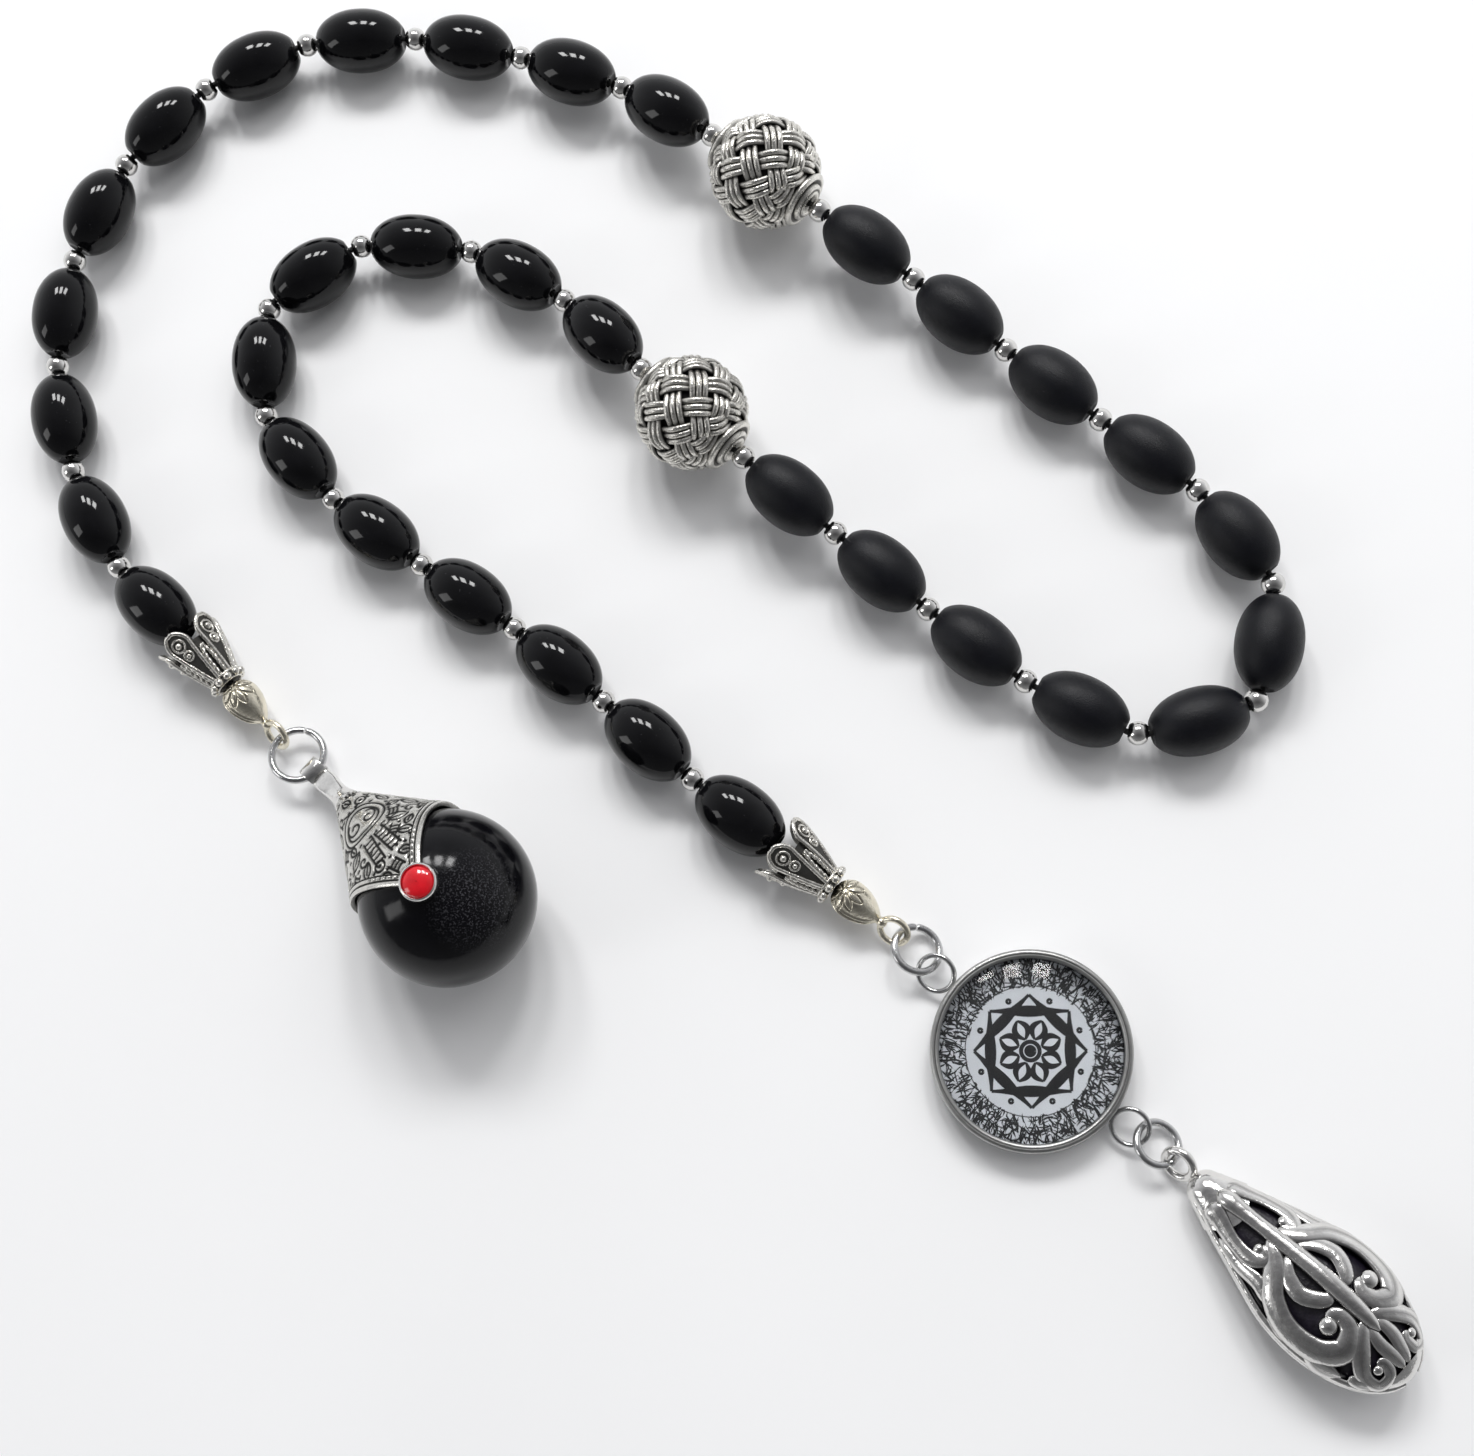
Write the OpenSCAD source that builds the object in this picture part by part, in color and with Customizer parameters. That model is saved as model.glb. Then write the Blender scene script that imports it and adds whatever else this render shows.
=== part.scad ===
// Open strand of prayer beads: thirty-three oval beads in three sections of eleven,
// two woven metal beads between the sections, a ball drop at one end, and a glazed
// disc with an openwork teardrop at the other. It lies in a flat spiral on z = 0.
// Lengths are in millimetres. The origin is under the middle of the whole outline.

/* [Oval beads] */
// Length of an oval bead along its hole
bead_len = 11.7; // [11.2:0.1:12.2]
// Widest diameter of an oval bead
bead_dia = 8; // [7.8:0.1:8.2]
// Radius of the rounded ends of an oval bead
bead_end_r = 2.9; // [2.7:0.1:3.1]
// Hole through oval beads and spacers
hole_dia = 1.1; // [1:0.05:1.2]

/* [Spacers and thread] */
// Thickness of a metal spacer along the thread
spacer_len = 1.9; // [1.7:0.1:2]
// Outer diameter of a metal spacer
spacer_dia = 3.3; // [3:0.1:3.5]
// Slack on the thread at every face between a bead and a spacer
slack = 0.4; // [0.35:0.05:0.5]
// Diameter of the thread
thread_dia = 0.7; // [0.5:0.05:0.75]

/* [Woven metal beads] */
// Diameter of a woven bead
woven_dia = 14; // [13.6:0.1:14.2]
// Length of a woven bead over its two collars
woven_len = 14.4; // [14.4:0.1:15]
// Wall of the hollow woven bead
woven_wall = 0.8; // [0.6:0.1:1.2]

/* [Crown caps and bead tips] */
// Length of a crown cap
crown_len = 8.4; // [8:0.1:9]
// Outer radius of a crown cap at the tips of its petals
crown_r = 4; // [3.8:0.05:4]
// Number of petals on a crown cap
petals = 5; // [4:1:6]
// Radius of the clam-shaped bead tip
tip_r = 2.25; // [2.1:0.05:2.4]
// Radius of the bead tip's eye, at the middle of its wire
eye_r = 1.7; // [1.65:0.05:1.8]

/* [Jump rings] */
// Wire diameter of the three jump rings
ring_wire = 0.9; // [0.8:0.05:0.95]
// Outer diameter of the jump ring that carries the ball drop
ring_a_dia = 7.3; // [7:0.1:7.6]
// Outer diameter of the jump ring between the strand and the disc
ring_b_dia = 6.4; // [6.2:0.1:6.6]
// Outer diameter of the jump ring that carries the teardrop
ring_c_dia = 5.9; // [5.8:0.1:6.1]

/* [Ball drop] */
// Diameter of the black ball
ball_dia = 20.5; // [19:0.5:21]
// Distance from the bail's roll to the middle of the ball
drop_len = 26.3; // [26:0.1:27]
// Diameter of the red stud's metal cup
stud_dia = 4.3; // [4:0.1:4.6]

/* [Disc] */
// Outer diameter of the disc's metal tray
disc_dia = 23; // [22:0.5:24]
// Height of the disc's metal tray
tray_h = 3.8; // [3.6:0.1:4.2]
// Height of the glass dome above its straight edge
dome_h = 2; // [1.5:0.1:2.5]

/* [Teardrop] */
// Length of the teardrop body
tear_len = 30.5; // [29:0.5:32]
// Widest width of the teardrop body
tear_w = 14; // [13:0.5:15]
// Thickness of the teardrop body
tear_t = 8; // [7:0.5:9]

/* [Hidden] */
$fn = 48;
eps = 0.01;
far = 20;

// Places along the strand, from the ball drop's end to the disc's end. Places 11 and 23
// hold the woven beads. Each place has a compass heading, and a rise near a woven bead,
// whose middle is higher than that of the oval beads.
start = [-64.01, 5.87];
headings = [
    136, 118, 102, 85, 65, 45, 23, 0, -14, -22, -35,
    -39,
    -37, -40, -40, -39, -54, -100, -166, -208, -219, -221, -220,
    -223,
    -226, -212, -186, -146, -88, -50, -37, -35, -40, -42, -38
];
woven_places = [11, 23];
last_place = len(headings) - 1;
gentle_rise = 4;
steep_rise = 8;

hole_r = hole_dia / 2;
bead_r = bead_dia / 2;
wire_r = ring_wire / 2;
eye_wire_r = 0.4;
loop_gap = 0.2;
joint_cut = 4;

function is_woven(i) = len([for (w = woven_places) if (w == i) w]) > 0;
function rise(i) =
    is_woven(i + 1) ? steep_rise :
    is_woven(i + 2) ? gentle_rise :
    is_woven(i - 1) ? -steep_rise :
    is_woven(i - 2) ? -gentle_rise : 0;
function aim(heading, lift) =
    [cos(heading) * cos(lift), sin(heading) * cos(lift), sin(lift)];
function unit(v) = v / norm(v);
function bead_dir(i) = aim(headings[i], rise(i));
// A point on a ring of wire that lies along a heading and leans about it.
function lean_side(heading, lift, lean) =
    cos(lean) * [-sin(heading), cos(heading), 0]
    - sin(lean) * [cos(heading) * sin(lift), sin(heading) * sin(lift), -cos(lift)];
function on_ring(radius, heading, lift, lean, turn) =
    radius * (cos(turn) * aim(heading, lift) + sin(turn) * lean_side(heading, lift, lean));
function spacer_dir(i) = unit(bead_dir(i) + bead_dir(i + 1));
function reach(i) = (is_woven(i) ? woven_len : bead_len) / 2 + slack / 2;
function hop(i) = reach(i) * bead_dir(i) + (spacer_len + slack) * spacer_dir(i)
    + reach(i + 1) * bead_dir(i + 1);
function walk(i, at) = i == 0 ? [at] : concat([at], walk(i - 1, at + hop(last_place - i)));
middles = walk(last_place, [start[0], start[1], bead_r]);
function spacer_mid(i) = middles[i] + reach(i) * bead_dir(i)
    + (spacer_len + slack) / 2 * spacer_dir(i);

// Both ends leave the strand on a gentle slope down to their jump rings.
end_drop = 6;
heading_a = -47;
heading_b = -37;
pivot_a = middles[0] - reach(0) * bead_dir(0);
dir_a = aim(heading_a, -end_drop);
pivot_b = middles[last_place] + reach(last_place) * bead_dir(last_place);
dir_b = aim(heading_b, -end_drop);

// Along an end, measured from its pivot: crown cap, bead tip, eye, jump ring.
crown_from = -0.6;
petal_turn = -18;
tip_mid = crown_from + crown_len + 0.1 + tip_r;
tip_nose = 4.4;
eye_mid = tip_mid + tip_nose + eye_r + 0.15;
hang = eye_mid + eye_r - eye_wire_r - wire_r - loop_gap;
ring_a_r = (ring_a_dia - ring_wire) / 2;
ring_b_r = (ring_b_dia - ring_wire) / 2;
ring_c_r = (ring_c_dia - ring_wire) / 2;
eye_lean_a = 55;
eye_lean_b = 45;

// Ball drop: the bail's roll turns on the far side of its jump ring, and the hood rests flat.
ring_a_heading = -42;
ring_a_lift = 3;
ring_a_lean = -8;
ring_a_mid = pivot_a + hang * dir_a + ring_a_r * aim(ring_a_heading, ring_a_lift);
roll_at = ring_a_mid + ring_a_r * aim(ring_a_heading, ring_a_lift);
ball_r = ball_dia / 2;
cap_wall = 0.55;
cap_gap = 0.05;
drop_lift = asin((ball_r + cap_gap + cap_wall - roll_at[2]) / drop_len);
drop_heading = -41;
roll_inner = 1;
roll_wall = 0.5;
roll_w = 2.6;
neck_at = 6.5;
neck_r = 1.6;
point_at = 29.6;
stud_angle = 104;
stud_r = stud_dia / 2;
shell_r = ball_r + cap_gap;
seat_r = shell_r + cap_wall + 0.05;
point_angle = 38.2;

// Disc with its two fixed rings.
fixed_r = 2.15;
fixed_wire_r = 0.3;
ring_lean = 25;
link = 3.5;
ring_b_heading = -52;
ring_b_hook = 194;
ring_b_mid = pivot_b + hang * dir_b
    - on_ring(ring_b_r, ring_b_heading, 0, -ring_lean, ring_b_hook);
disc_r = disc_dia / 2;
disc_heading = -40;
fixed_out = disc_r + fixed_r + 0.2;
fixed_z = ring_b_mid[2] - 0.1;
fixed_top = ring_b_mid + link * aim(ring_b_heading, 0);
disc_mid = [fixed_top[0], fixed_top[1], 0] + fixed_out * aim(disc_heading, 0);
bottom_heading = -38;
fixed_bottom = disc_mid + fixed_out * aim(bottom_heading, 0) + [0, 0, fixed_z];
tray_wall = 0.6;
tray_floor = 0.8;
print_t = 0.3;
glass_r = disc_r - tray_wall - 0.15;
glass_edge = 1.9;
lip_w = 1.05;
lip_h = 0.6;

// Teardrop on its jump ring.
tear_heading = -44;
tear_lift = 6.5;
ring_c_heading = tear_heading;
ring_c_mid = fixed_bottom + link * aim(heading_b + 5, 0);
bail_r = 1.75;
bail_wire_r = 0.5;
bail_gap = 0.15;
bail_lean = 50;
ring_c_far = ring_c_mid + ring_c_r * aim(ring_c_heading, 0);
tear_dir = aim(tear_heading, tear_lift);
bail_mid = ring_c_far + (bail_r - bail_wire_r - wire_r - bail_gap) * tear_dir;
tear_at = bail_r + bail_wire_r - 0.35;
tear_neck_r = 2.1;
tear_belly = 11.5;
tear_mid = tear_at + tear_len - tear_belly;
tear_wall = 0.8;

// Turns +Z to a heading and lift; the solid's own X then points down and its Y sideways.
module aimed(at, heading, lift) {
    translate(at) rotate([0, 90 - lift, heading]) children();
}

// A ring of wire in the plane of +Z and +Y, leaned about +Z, with an optional saw cut.
module wire_ring(radius, wire, lean, cut = 0, cut_at = 0) {
    rotate([0, 0, lean]) rotate([0, 90, 0]) rotate([0, 0, cut_at + cut / 2])
        rotate_extrude(angle = 360 - cut) translate([radius, 0]) circle(wire, $fn = 24);
}

// Oval bead on +Z: a side arc that runs tangent into two end arcs, with its hole.
module oval_bead() {
    end_at = bead_len / 2 - sqrt(pow(bead_end_r, 2) - pow(hole_r, 2));
    side_r = (pow(end_at, 2) + pow(bead_r, 2) - pow(bead_end_r, 2)) / (2 * (bead_r - bead_end_r));
    meet = end_at * side_r / (side_r - bead_end_r);
    rotate_extrude() difference() {
        union() {
            intersection() {
                translate([bead_r - side_r, 0]) circle(side_r, $fn = 96);
                translate([0, -meet]) square([bead_r + 1, 2 * meet]);
            }
            for (s = [-1, 1]) translate([0, s * end_at]) circle(bead_end_r);
        }
        translate([-far, -far]) square([far + hole_r, 2 * far]);
    }
}

// Metal spacer on +Z: a flat washer with a fully rounded rim.
module spacer() {
    rim_r = spacer_len / 2;
    rim_at = spacer_dia / 2 - rim_r;
    rotate_extrude() {
        translate([hole_r, -rim_r]) square([rim_at - hole_r, spacer_len]);
        translate([rim_at, 0]) intersection() {
            circle(rim_r);
            translate([-eps, -rim_r]) square([rim_r + 1, spacer_len]);
        }
    }
}

function place_of(bead) = bead - 1 + (bead > 11 ? 1 : 0) + (bead > 22 ? 1 : 0);

module glossy_beads(first, last) {
    color([0.03, 0.03, 0.035])
        for (n = [first:last]) let (i = place_of(n)) aimed(middles[i], headings[i], rise(i)) oval_bead();
}

module matte_beads(first, last) {
    color([0.1, 0.1, 0.105])
        for (n = [first:last]) let (i = place_of(n)) aimed(middles[i], headings[i], rise(i)) oval_bead();
}

// Spacers after places first to last; the one after place i lies between i and i + 1.
module spacers(first, last) {
    color([0.62, 0.62, 0.64]) for (i = [first:last]) {
        d = spacer_dir(i);
        aimed(spacer_mid(i), atan2(d[1], d[0]), asin(d[2])) spacer();
    }
}

// Hollow metal ball with two collars and a hole for the thread.
module woven_bead(i) {
    r = woven_dia / 2;
    collar_r = 2.3;
    step_r = 3.1;
    step_h = 0.25;
    color([0.66, 0.66, 0.66]) aimed(middles[i], headings[i], rise(i)) rotate_extrude()
        difference() {
            union() {
                circle(r, $fn = 96);
                square([2 * collar_r, woven_len], center = true);
                square([2 * step_r, woven_len - 2 * step_h - 0.8], center = true);
            }
            circle(r - woven_wall, $fn = 96);
            translate([-far, -far]) square([far + hole_r, 2 * far]);
        }
}

// Thread along the holes, bending only in the slack between faces.
thread_sides = 8;
crimp_at = tip_mid;
thread_end = crimp_at + 0.9;
route = concat(
    [pivot_a + thread_end * dir_a, pivot_a],
    [for (i = [0:last_place - 1]) for (s = [0, 1])
        s == 0 ? middles[i] + reach(i) * bead_dir(i)
               : middles[i + 1] - reach(i + 1) * bead_dir(i + 1)],
    [pivot_b, pivot_b + thread_end * dir_b]
);
function leg(i) = unit(route[i + 1] - route[i]);
function bend_dir(i) =
    i == 0 ? leg(0) : i == len(route) - 1 ? leg(i - 1) : unit(leg(i - 1) + leg(i));
function side_of(d) = unit(cross([0, 0, 1], d));
function thread_ring(i) = let (d = bend_dir(i), x = side_of(d), y = cross(d, x))
    [for (k = [0:thread_sides - 1]) let (a = 360 * k / thread_sides)
        route[i] + thread_dia / 2 * (cos(a) * x + sin(a) * y)];

module thread() {
    rings = len(route);
    n = thread_sides;
    points = [for (i = [0:rings - 1]) each thread_ring(i)];
    walls = [for (i = [0:rings - 2]) for (k = [0:n - 1])
        [i * n + k, (i + 1) * n + k, (i + 1) * n + (k + 1) % n, i * n + (k + 1) % n]];
    ends = [[for (k = [0:n - 1]) k], [for (k = [0:n - 1]) rings * n - 1 - k]];
    color([0.06, 0.06, 0.06]) polyhedron(points = points, faces = concat(walls, ends));
}

// Crown cap: a cone cut into petals, each with two grains, and a collar of grains.
module crown_cap() {
    wall = 0.5;
    narrow_r = 1.75;
    narrow_at = crown_from + crown_len - 0.8;
    mouth_r = crown_r - wall;
    notch_end = crown_from + 4.4;
    notch = [[-2.1, crown_from - 1], [2.1, crown_from - 1], [1.25, crown_from + 0.7],
        [0.85, crown_from + 1.7], [0.1, notch_end], [-0.1, notch_end],
        [-0.85, crown_from + 1.7], [-1.25, crown_from + 0.7]];
    lean = atan((crown_r - narrow_r) / (narrow_at - crown_from));
    grains = 9;
    difference() {
        rotate_extrude() polygon([
            [mouth_r, crown_from], [crown_r, crown_from], [narrow_r, narrow_at],
            [narrow_r + 0.15, narrow_at], [narrow_r + 0.15, narrow_at + 0.8],
            [hole_r, narrow_at + 0.8], [hole_r, narrow_at - 0.3], [narrow_r - wall, narrow_at - 0.3]
        ]);
        for (i = [0:petals - 1]) rotate([0, 0, (i + 0.5) * 360 / petals])
            translate([1, 0, 0]) rotate([90, 0, 90]) linear_extrude(far) polygon(notch);
    }
    for (i = [0:petals - 1]) rotate([0, 0, i * 360 / petals])
        for (g = [[1.2, 0.5], [2.8, 0.38]])
            translate([crown_r - tan(lean) * g[0] - 0.05, 0, crown_from + g[0]])
                sphere(g[1], $fn = 24);
    for (i = [0:grains - 1]) rotate([0, 0, i * 360 / grains])
        translate([narrow_r + 0.1, 0, narrow_at + 0.4]) sphere(0.4, $fn = 24);
}

// Clam-shaped bead tip that hides the crimp, with a nose and a leaning eye.
module bead_tip(eye_lean) {
    shell = 0.4;
    nose_r = (pow(tip_nose, 2) + pow(tip_r, 2)) / (2 * tip_r);
    translate([0, 0, tip_mid]) difference() {
        union() {
            sphere(tip_r);
            rotate_extrude() intersection() {
                translate([tip_r - nose_r, 0]) circle(nose_r, $fn = 96);
                square([tip_r, tip_nose]);
            }
        }
        sphere(tip_r - shell);
        translate([0, 0, -far]) cylinder(r = hole_r, h = far);
    }
    translate([0, 0, eye_mid]) wire_ring(eye_r, eye_wire_r, eye_lean);
    translate([0, 0, tip_mid + tip_nose - 0.9]) cylinder(r = 0.5, h = 1.05);
}

module crimp() {
    crimp_r = 1;
    crimp_h = 1.5;
    translate([0, 0, crimp_at]) difference() {
        cylinder(r = crimp_r, h = crimp_h, center = true);
        cylinder(r = thread_dia / 2 + 0.05, h = crimp_h + 1, center = true);
    }
}

module at_end_a() { aimed(pivot_a, heading_a, -end_drop) children(); }
module at_end_b() { aimed(pivot_b, heading_b, -end_drop) children(); }

module crown_cap_a() { color([0.6, 0.6, 0.58]) at_end_a() rotate([0, 0, petal_turn]) crown_cap(); }
module crown_cap_b() { color([0.6, 0.6, 0.58]) at_end_b() rotate([0, 0, petal_turn]) crown_cap(); }
module bead_tip_a() { color([0.74, 0.7, 0.58]) at_end_a() bead_tip(eye_lean_a); }
module bead_tip_b() { color([0.74, 0.7, 0.58]) at_end_b() bead_tip(eye_lean_b); }
module crimp_a() { color([0.7, 0.68, 0.6]) at_end_a() crimp(); }
module crimp_b() { color([0.7, 0.68, 0.6]) at_end_b() crimp(); }

module jump_ring_a() {
    color([0.68, 0.68, 0.7]) aimed(ring_a_mid, ring_a_heading, ring_a_lift)
        wire_ring(ring_a_r, wire_r, ring_a_lean, joint_cut, 60);
}

module jump_ring_b() {
    color([0.68, 0.68, 0.7]) aimed(ring_b_mid, ring_b_heading, 0)
        wire_ring(ring_b_r, wire_r, -ring_lean, joint_cut, 40);
}

module jump_ring_c() {
    color([0.68, 0.68, 0.7]) aimed(ring_c_mid, ring_c_heading, 0)
        wire_ring(ring_c_r, wire_r, -ring_lean, joint_cut, 200);
}

// The drop's own frame: the bail's roll at the origin, the ball along +Z, -X upward.
module at_drop() { aimed(roll_at, drop_heading, drop_lift) children(); }

// Hood over the ball: a cone run smoothly into a ball, cut to a point above and below.
module hood() {
    difference() {
        hull() {
            translate([0, 0, neck_at]) cylinder(r = neck_r, h = 0.1);
            translate([0, 0, drop_len]) sphere(shell_r + cap_wall, $fn = 60);
        }
        translate([0, 0, drop_len]) hull() sphere(shell_r, $fn = 60);
        for (s = [0, 1]) mirror([0, s, 0]) translate([0, 0, point_at])
            rotate([point_angle, 0, 0]) translate([-far, 0, -2 * far])
                cube([2 * far, 2 * far, 4 * far]);
    }
}

// The hood with its tongue, the bail rolled from it, and the stud's cup.
module drop_cap() {
    color([0.64, 0.64, 0.63]) at_drop() {
        hood();
        rotate([90, 0, 0]) difference() {
            cylinder(r = roll_inner + roll_wall, h = roll_w, center = true);
            cylinder(r = roll_inner, h = roll_w + 1, center = true);
        }
        translate([-0.5, -roll_w / 2, roll_inner + 0.1])
            cube([1, roll_w, neck_at - roll_inner + 0.4]);
        translate([0, 0, drop_len]) rotate([0, stud_angle + 180, 0]) difference() {
            translate([0, 0, ball_r - 0.4]) cylinder(r = stud_r, h = 1.7);
            sphere(shell_r, $fn = 96);
            translate([0, 0, seat_r]) cylinder(r = stud_r - 0.35, h = 2);
        }
    }
}

module drop_ball() {
    color([0.03, 0.03, 0.035]) at_drop() translate([0, 0, drop_len]) sphere(ball_r, $fn = 96);
}

// Red domed stud in its cup at the upper point of the hood.
module drop_stud() {
    stone_r = stud_r - 0.4;
    dome_r = 3.2;
    color([0.75, 0.03, 0.04]) at_drop() translate([0, 0, drop_len])
        rotate([0, stud_angle + 180, 0]) intersection() {
            translate([0, 0, seat_r + 0.03]) cylinder(r = stone_r, h = 2);
            translate([0, 0, ball_r + 1.55 - dome_r]) sphere(dome_r);
        }
}

module at_disc() { translate(disc_mid) children(); }

// Tray with a floor, a wall and a lip turned in over the glass.
module disc_tray() {
    color([0.62, 0.62, 0.62]) at_disc() rotate_extrude() polygon([
        [0, 0], [disc_r, 0], [disc_r, tray_h], [disc_r - lip_w, tray_h],
        [disc_r - lip_w, tray_h - lip_h], [disc_r - tray_wall, tray_h - lip_h],
        [disc_r - tray_wall, tray_floor], [0, tray_floor]
    ]);
}

module disc_print() {
    color([0.8, 0.81, 0.83]) at_disc() translate([0, 0, tray_floor])
        cylinder(r = glass_r, h = print_t);
}

module disc_glass() {
    foot = tray_floor + print_t;
    ball = (pow(glass_r, 2) + pow(dome_h, 2)) / (2 * dome_h);
    color([0.8, 0.85, 0.88, 0.35]) at_disc() intersection() {
        translate([0, 0, foot]) cylinder(r = glass_r, h = glass_edge + dome_h);
        translate([0, 0, foot + glass_edge + dome_h - ball]) sphere(ball, $fn = 96);
    }
}

module disc_ring_top() {
    color([0.66, 0.66, 0.68]) aimed([fixed_top[0], fixed_top[1], fixed_z], disc_heading, 0)
        wire_ring(fixed_r, fixed_wire_r, ring_lean);
}

module disc_ring_bottom() {
    color([0.66, 0.66, 0.68]) aimed(fixed_bottom, bottom_heading, 0)
        wire_ring(fixed_r, fixed_wire_r, ring_lean);
}

// The teardrop's own frame: the bail at the origin, the body along +Z.
module at_tear() { aimed(bail_mid, tear_heading, tear_lift) children(); }

// Puffed teardrop, thinned by inset: a blend from a round neck to a long oval belly.
module tear_blend(inset) {
    half = [tear_t / 2, tear_w / 2, tear_belly] - inset * [1, 1, 1];
    hull() {
        translate([0, 0, tear_at + tear_neck_r]) sphere(tear_neck_r - inset, $fn = 24);
        translate([0, 0, tear_mid]) scale(half) sphere(1, $fn = 32);
    }
}

// One half of the teardrop: side is -1 for the half on top and 1 for the half below.
module tear_half(side) {
    windows = [[-10, 1.8, 0.9], [-5.5, 2.8, 1.3], [0.5, 3.7, 1.8], [6, 2, 1.3]];
    difference() {
        tear_blend(0);
        tear_blend(tear_wall);
        translate([side < 0 ? 0 : -far, -far, -far]) cube([far, 2 * far, 4 * far]);
        for (w = windows, s = [-1, 1])
            translate([0, s * w[1], tear_mid + w[0]]) rotate([0, side * 90, 0])
                cylinder(r = w[2], h = far, $fn = 24);
    }
}

module teardrop_front() { color([0.72, 0.72, 0.72]) at_tear() tear_half(-1); }
module teardrop_back() { color([0.7, 0.7, 0.7]) at_tear() tear_half(1); }

module teardrop_bail() {
    color([0.74, 0.74, 0.74]) at_tear() wire_ring(bail_r, bail_wire_r, bail_lean);
}

glossy_beads(1, 1);  // bead_01
glossy_beads(2, 3);  // beads_02_03
glossy_beads(4, 5);  // beads_04_05
glossy_beads(6, 7);  // beads_06_07
glossy_beads(8, 9);  // beads_08_09
glossy_beads(10, 11);  // beads_10_11
matte_beads(12, 12);  // bead_12
matte_beads(13, 14);  // beads_13_14
matte_beads(15, 16);  // beads_15_16
matte_beads(17, 18);  // beads_17_18
matte_beads(19, 20);  // beads_19_20
matte_beads(21, 22);  // beads_21_22
glossy_beads(23, 23);  // bead_23
glossy_beads(24, 25);  // beads_24_25
glossy_beads(26, 27);  // beads_26_27
glossy_beads(28, 29);  // beads_28_29
glossy_beads(30, 31);  // beads_30_31
glossy_beads(32, 33);  // beads_32_33
spacers(0, 0);  // spacer_01
spacers(1, 2);  // spacers_02_03
spacers(3, 4);  // spacers_04_05
spacers(5, 6);  // spacers_06_07
spacers(7, 8);  // spacers_08_09
spacers(9, 10);  // spacers_10_11
spacers(11, 12);  // spacers_12
spacers(13, 14);  // spacers_13_14
spacers(15, 16);  // spacers_15_16
spacers(17, 18);  // spacers_17_18
spacers(19, 20);  // spacers_19_20
spacers(21, 22);  // spacers_21_22
spacers(23, 24);  // spacers_23
spacers(25, 26);  // spacers_24_25
spacers(27, 28);  // spacers_26_27
spacers(29, 30);  // spacers_28_29
spacers(31, 32);  // spacers_30_31
spacers(33, 33);  // spacer_32_33
woven_bead(11);  // woven_bead_1
woven_bead(23);  // woven_bead_2
thread();
crown_cap_a();
bead_tip_a();
crimp_a();
jump_ring_a();
drop_cap();
drop_ball();
drop_stud();
crown_cap_b();
bead_tip_b();
crimp_b();
jump_ring_b();
disc_tray();
disc_print();
disc_glass();
disc_ring_top();
disc_ring_bottom();
jump_ring_c();
teardrop_front();
teardrop_back();
teardrop_bail();
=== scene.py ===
import math

import bpy
import numpy as np
from mathutils import Matrix, Vector
from mathutils.kdtree import KDTree


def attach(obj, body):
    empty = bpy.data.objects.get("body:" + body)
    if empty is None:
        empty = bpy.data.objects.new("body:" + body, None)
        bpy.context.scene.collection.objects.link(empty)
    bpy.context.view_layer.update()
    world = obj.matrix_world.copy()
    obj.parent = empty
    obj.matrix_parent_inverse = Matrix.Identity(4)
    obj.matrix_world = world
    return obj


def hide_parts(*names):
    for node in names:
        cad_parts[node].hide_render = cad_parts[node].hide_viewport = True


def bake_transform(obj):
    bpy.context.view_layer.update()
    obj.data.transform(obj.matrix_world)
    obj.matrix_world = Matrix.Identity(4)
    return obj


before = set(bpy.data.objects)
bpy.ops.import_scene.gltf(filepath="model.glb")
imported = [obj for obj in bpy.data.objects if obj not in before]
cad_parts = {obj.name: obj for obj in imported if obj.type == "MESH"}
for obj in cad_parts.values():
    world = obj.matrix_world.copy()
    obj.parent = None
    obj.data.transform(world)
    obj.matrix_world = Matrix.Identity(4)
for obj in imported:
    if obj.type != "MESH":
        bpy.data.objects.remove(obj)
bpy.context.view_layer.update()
MM = 0.001
rng = np.random.default_rng(7)

# ---------------- places, as in the CAD source
BEAD_LEN, BEAD_R, HOLE_R = 11.7, 4.0, 0.55
SPACER_LEN, SLACK = 1.9, 0.4
WOVEN_LEN = 14.4
HEADINGS = [
    136, 118, 102, 85, 65, 45, 23, 0, -14, -22, -35,
    -39,
    -37, -40, -40, -39, -54, -100, -166, -208, -219, -221, -220,
    -223,
    -226, -212, -186, -146, -88, -50, -37, -35, -40, -42, -38,
]
WOVEN_PLACES = (11, 23)
LAST = len(HEADINGS) - 1
START = (-64.01, 5.87)


def aim(heading, lift=0.0):
    h, l = math.radians(heading), math.radians(lift)
    return np.array([math.cos(h) * math.cos(l), math.sin(h) * math.cos(l), math.sin(l)])


def unit(v):
    v = np.asarray(v, float)
    return v / np.linalg.norm(v)


def rise(i):
    for step, lift in ((1, 8), (2, 4), (-1, -8), (-2, -4)):
        if i + step in WOVEN_PLACES:
            return lift
    return 0


def reach(i):
    return (WOVEN_LEN if i in WOVEN_PLACES else BEAD_LEN) / 2 + SLACK / 2


DIRS = [aim(HEADINGS[i], rise(i)) for i in range(LAST + 1)]
MIDDLES = [np.array([START[0], START[1], BEAD_R])]
for i in range(LAST):
    between = unit(DIRS[i] + DIRS[i + 1])
    MIDDLES.append(
        MIDDLES[i] + reach(i) * DIRS[i] + (SPACER_LEN + SLACK) * between + reach(i + 1) * DIRS[i + 1]
    )


def spacer_place(i):
    between = unit(DIRS[i] + DIRS[i + 1])
    return MIDDLES[i] + reach(i) * DIRS[i] + (SPACER_LEN + SLACK) / 2 * between, between


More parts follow.
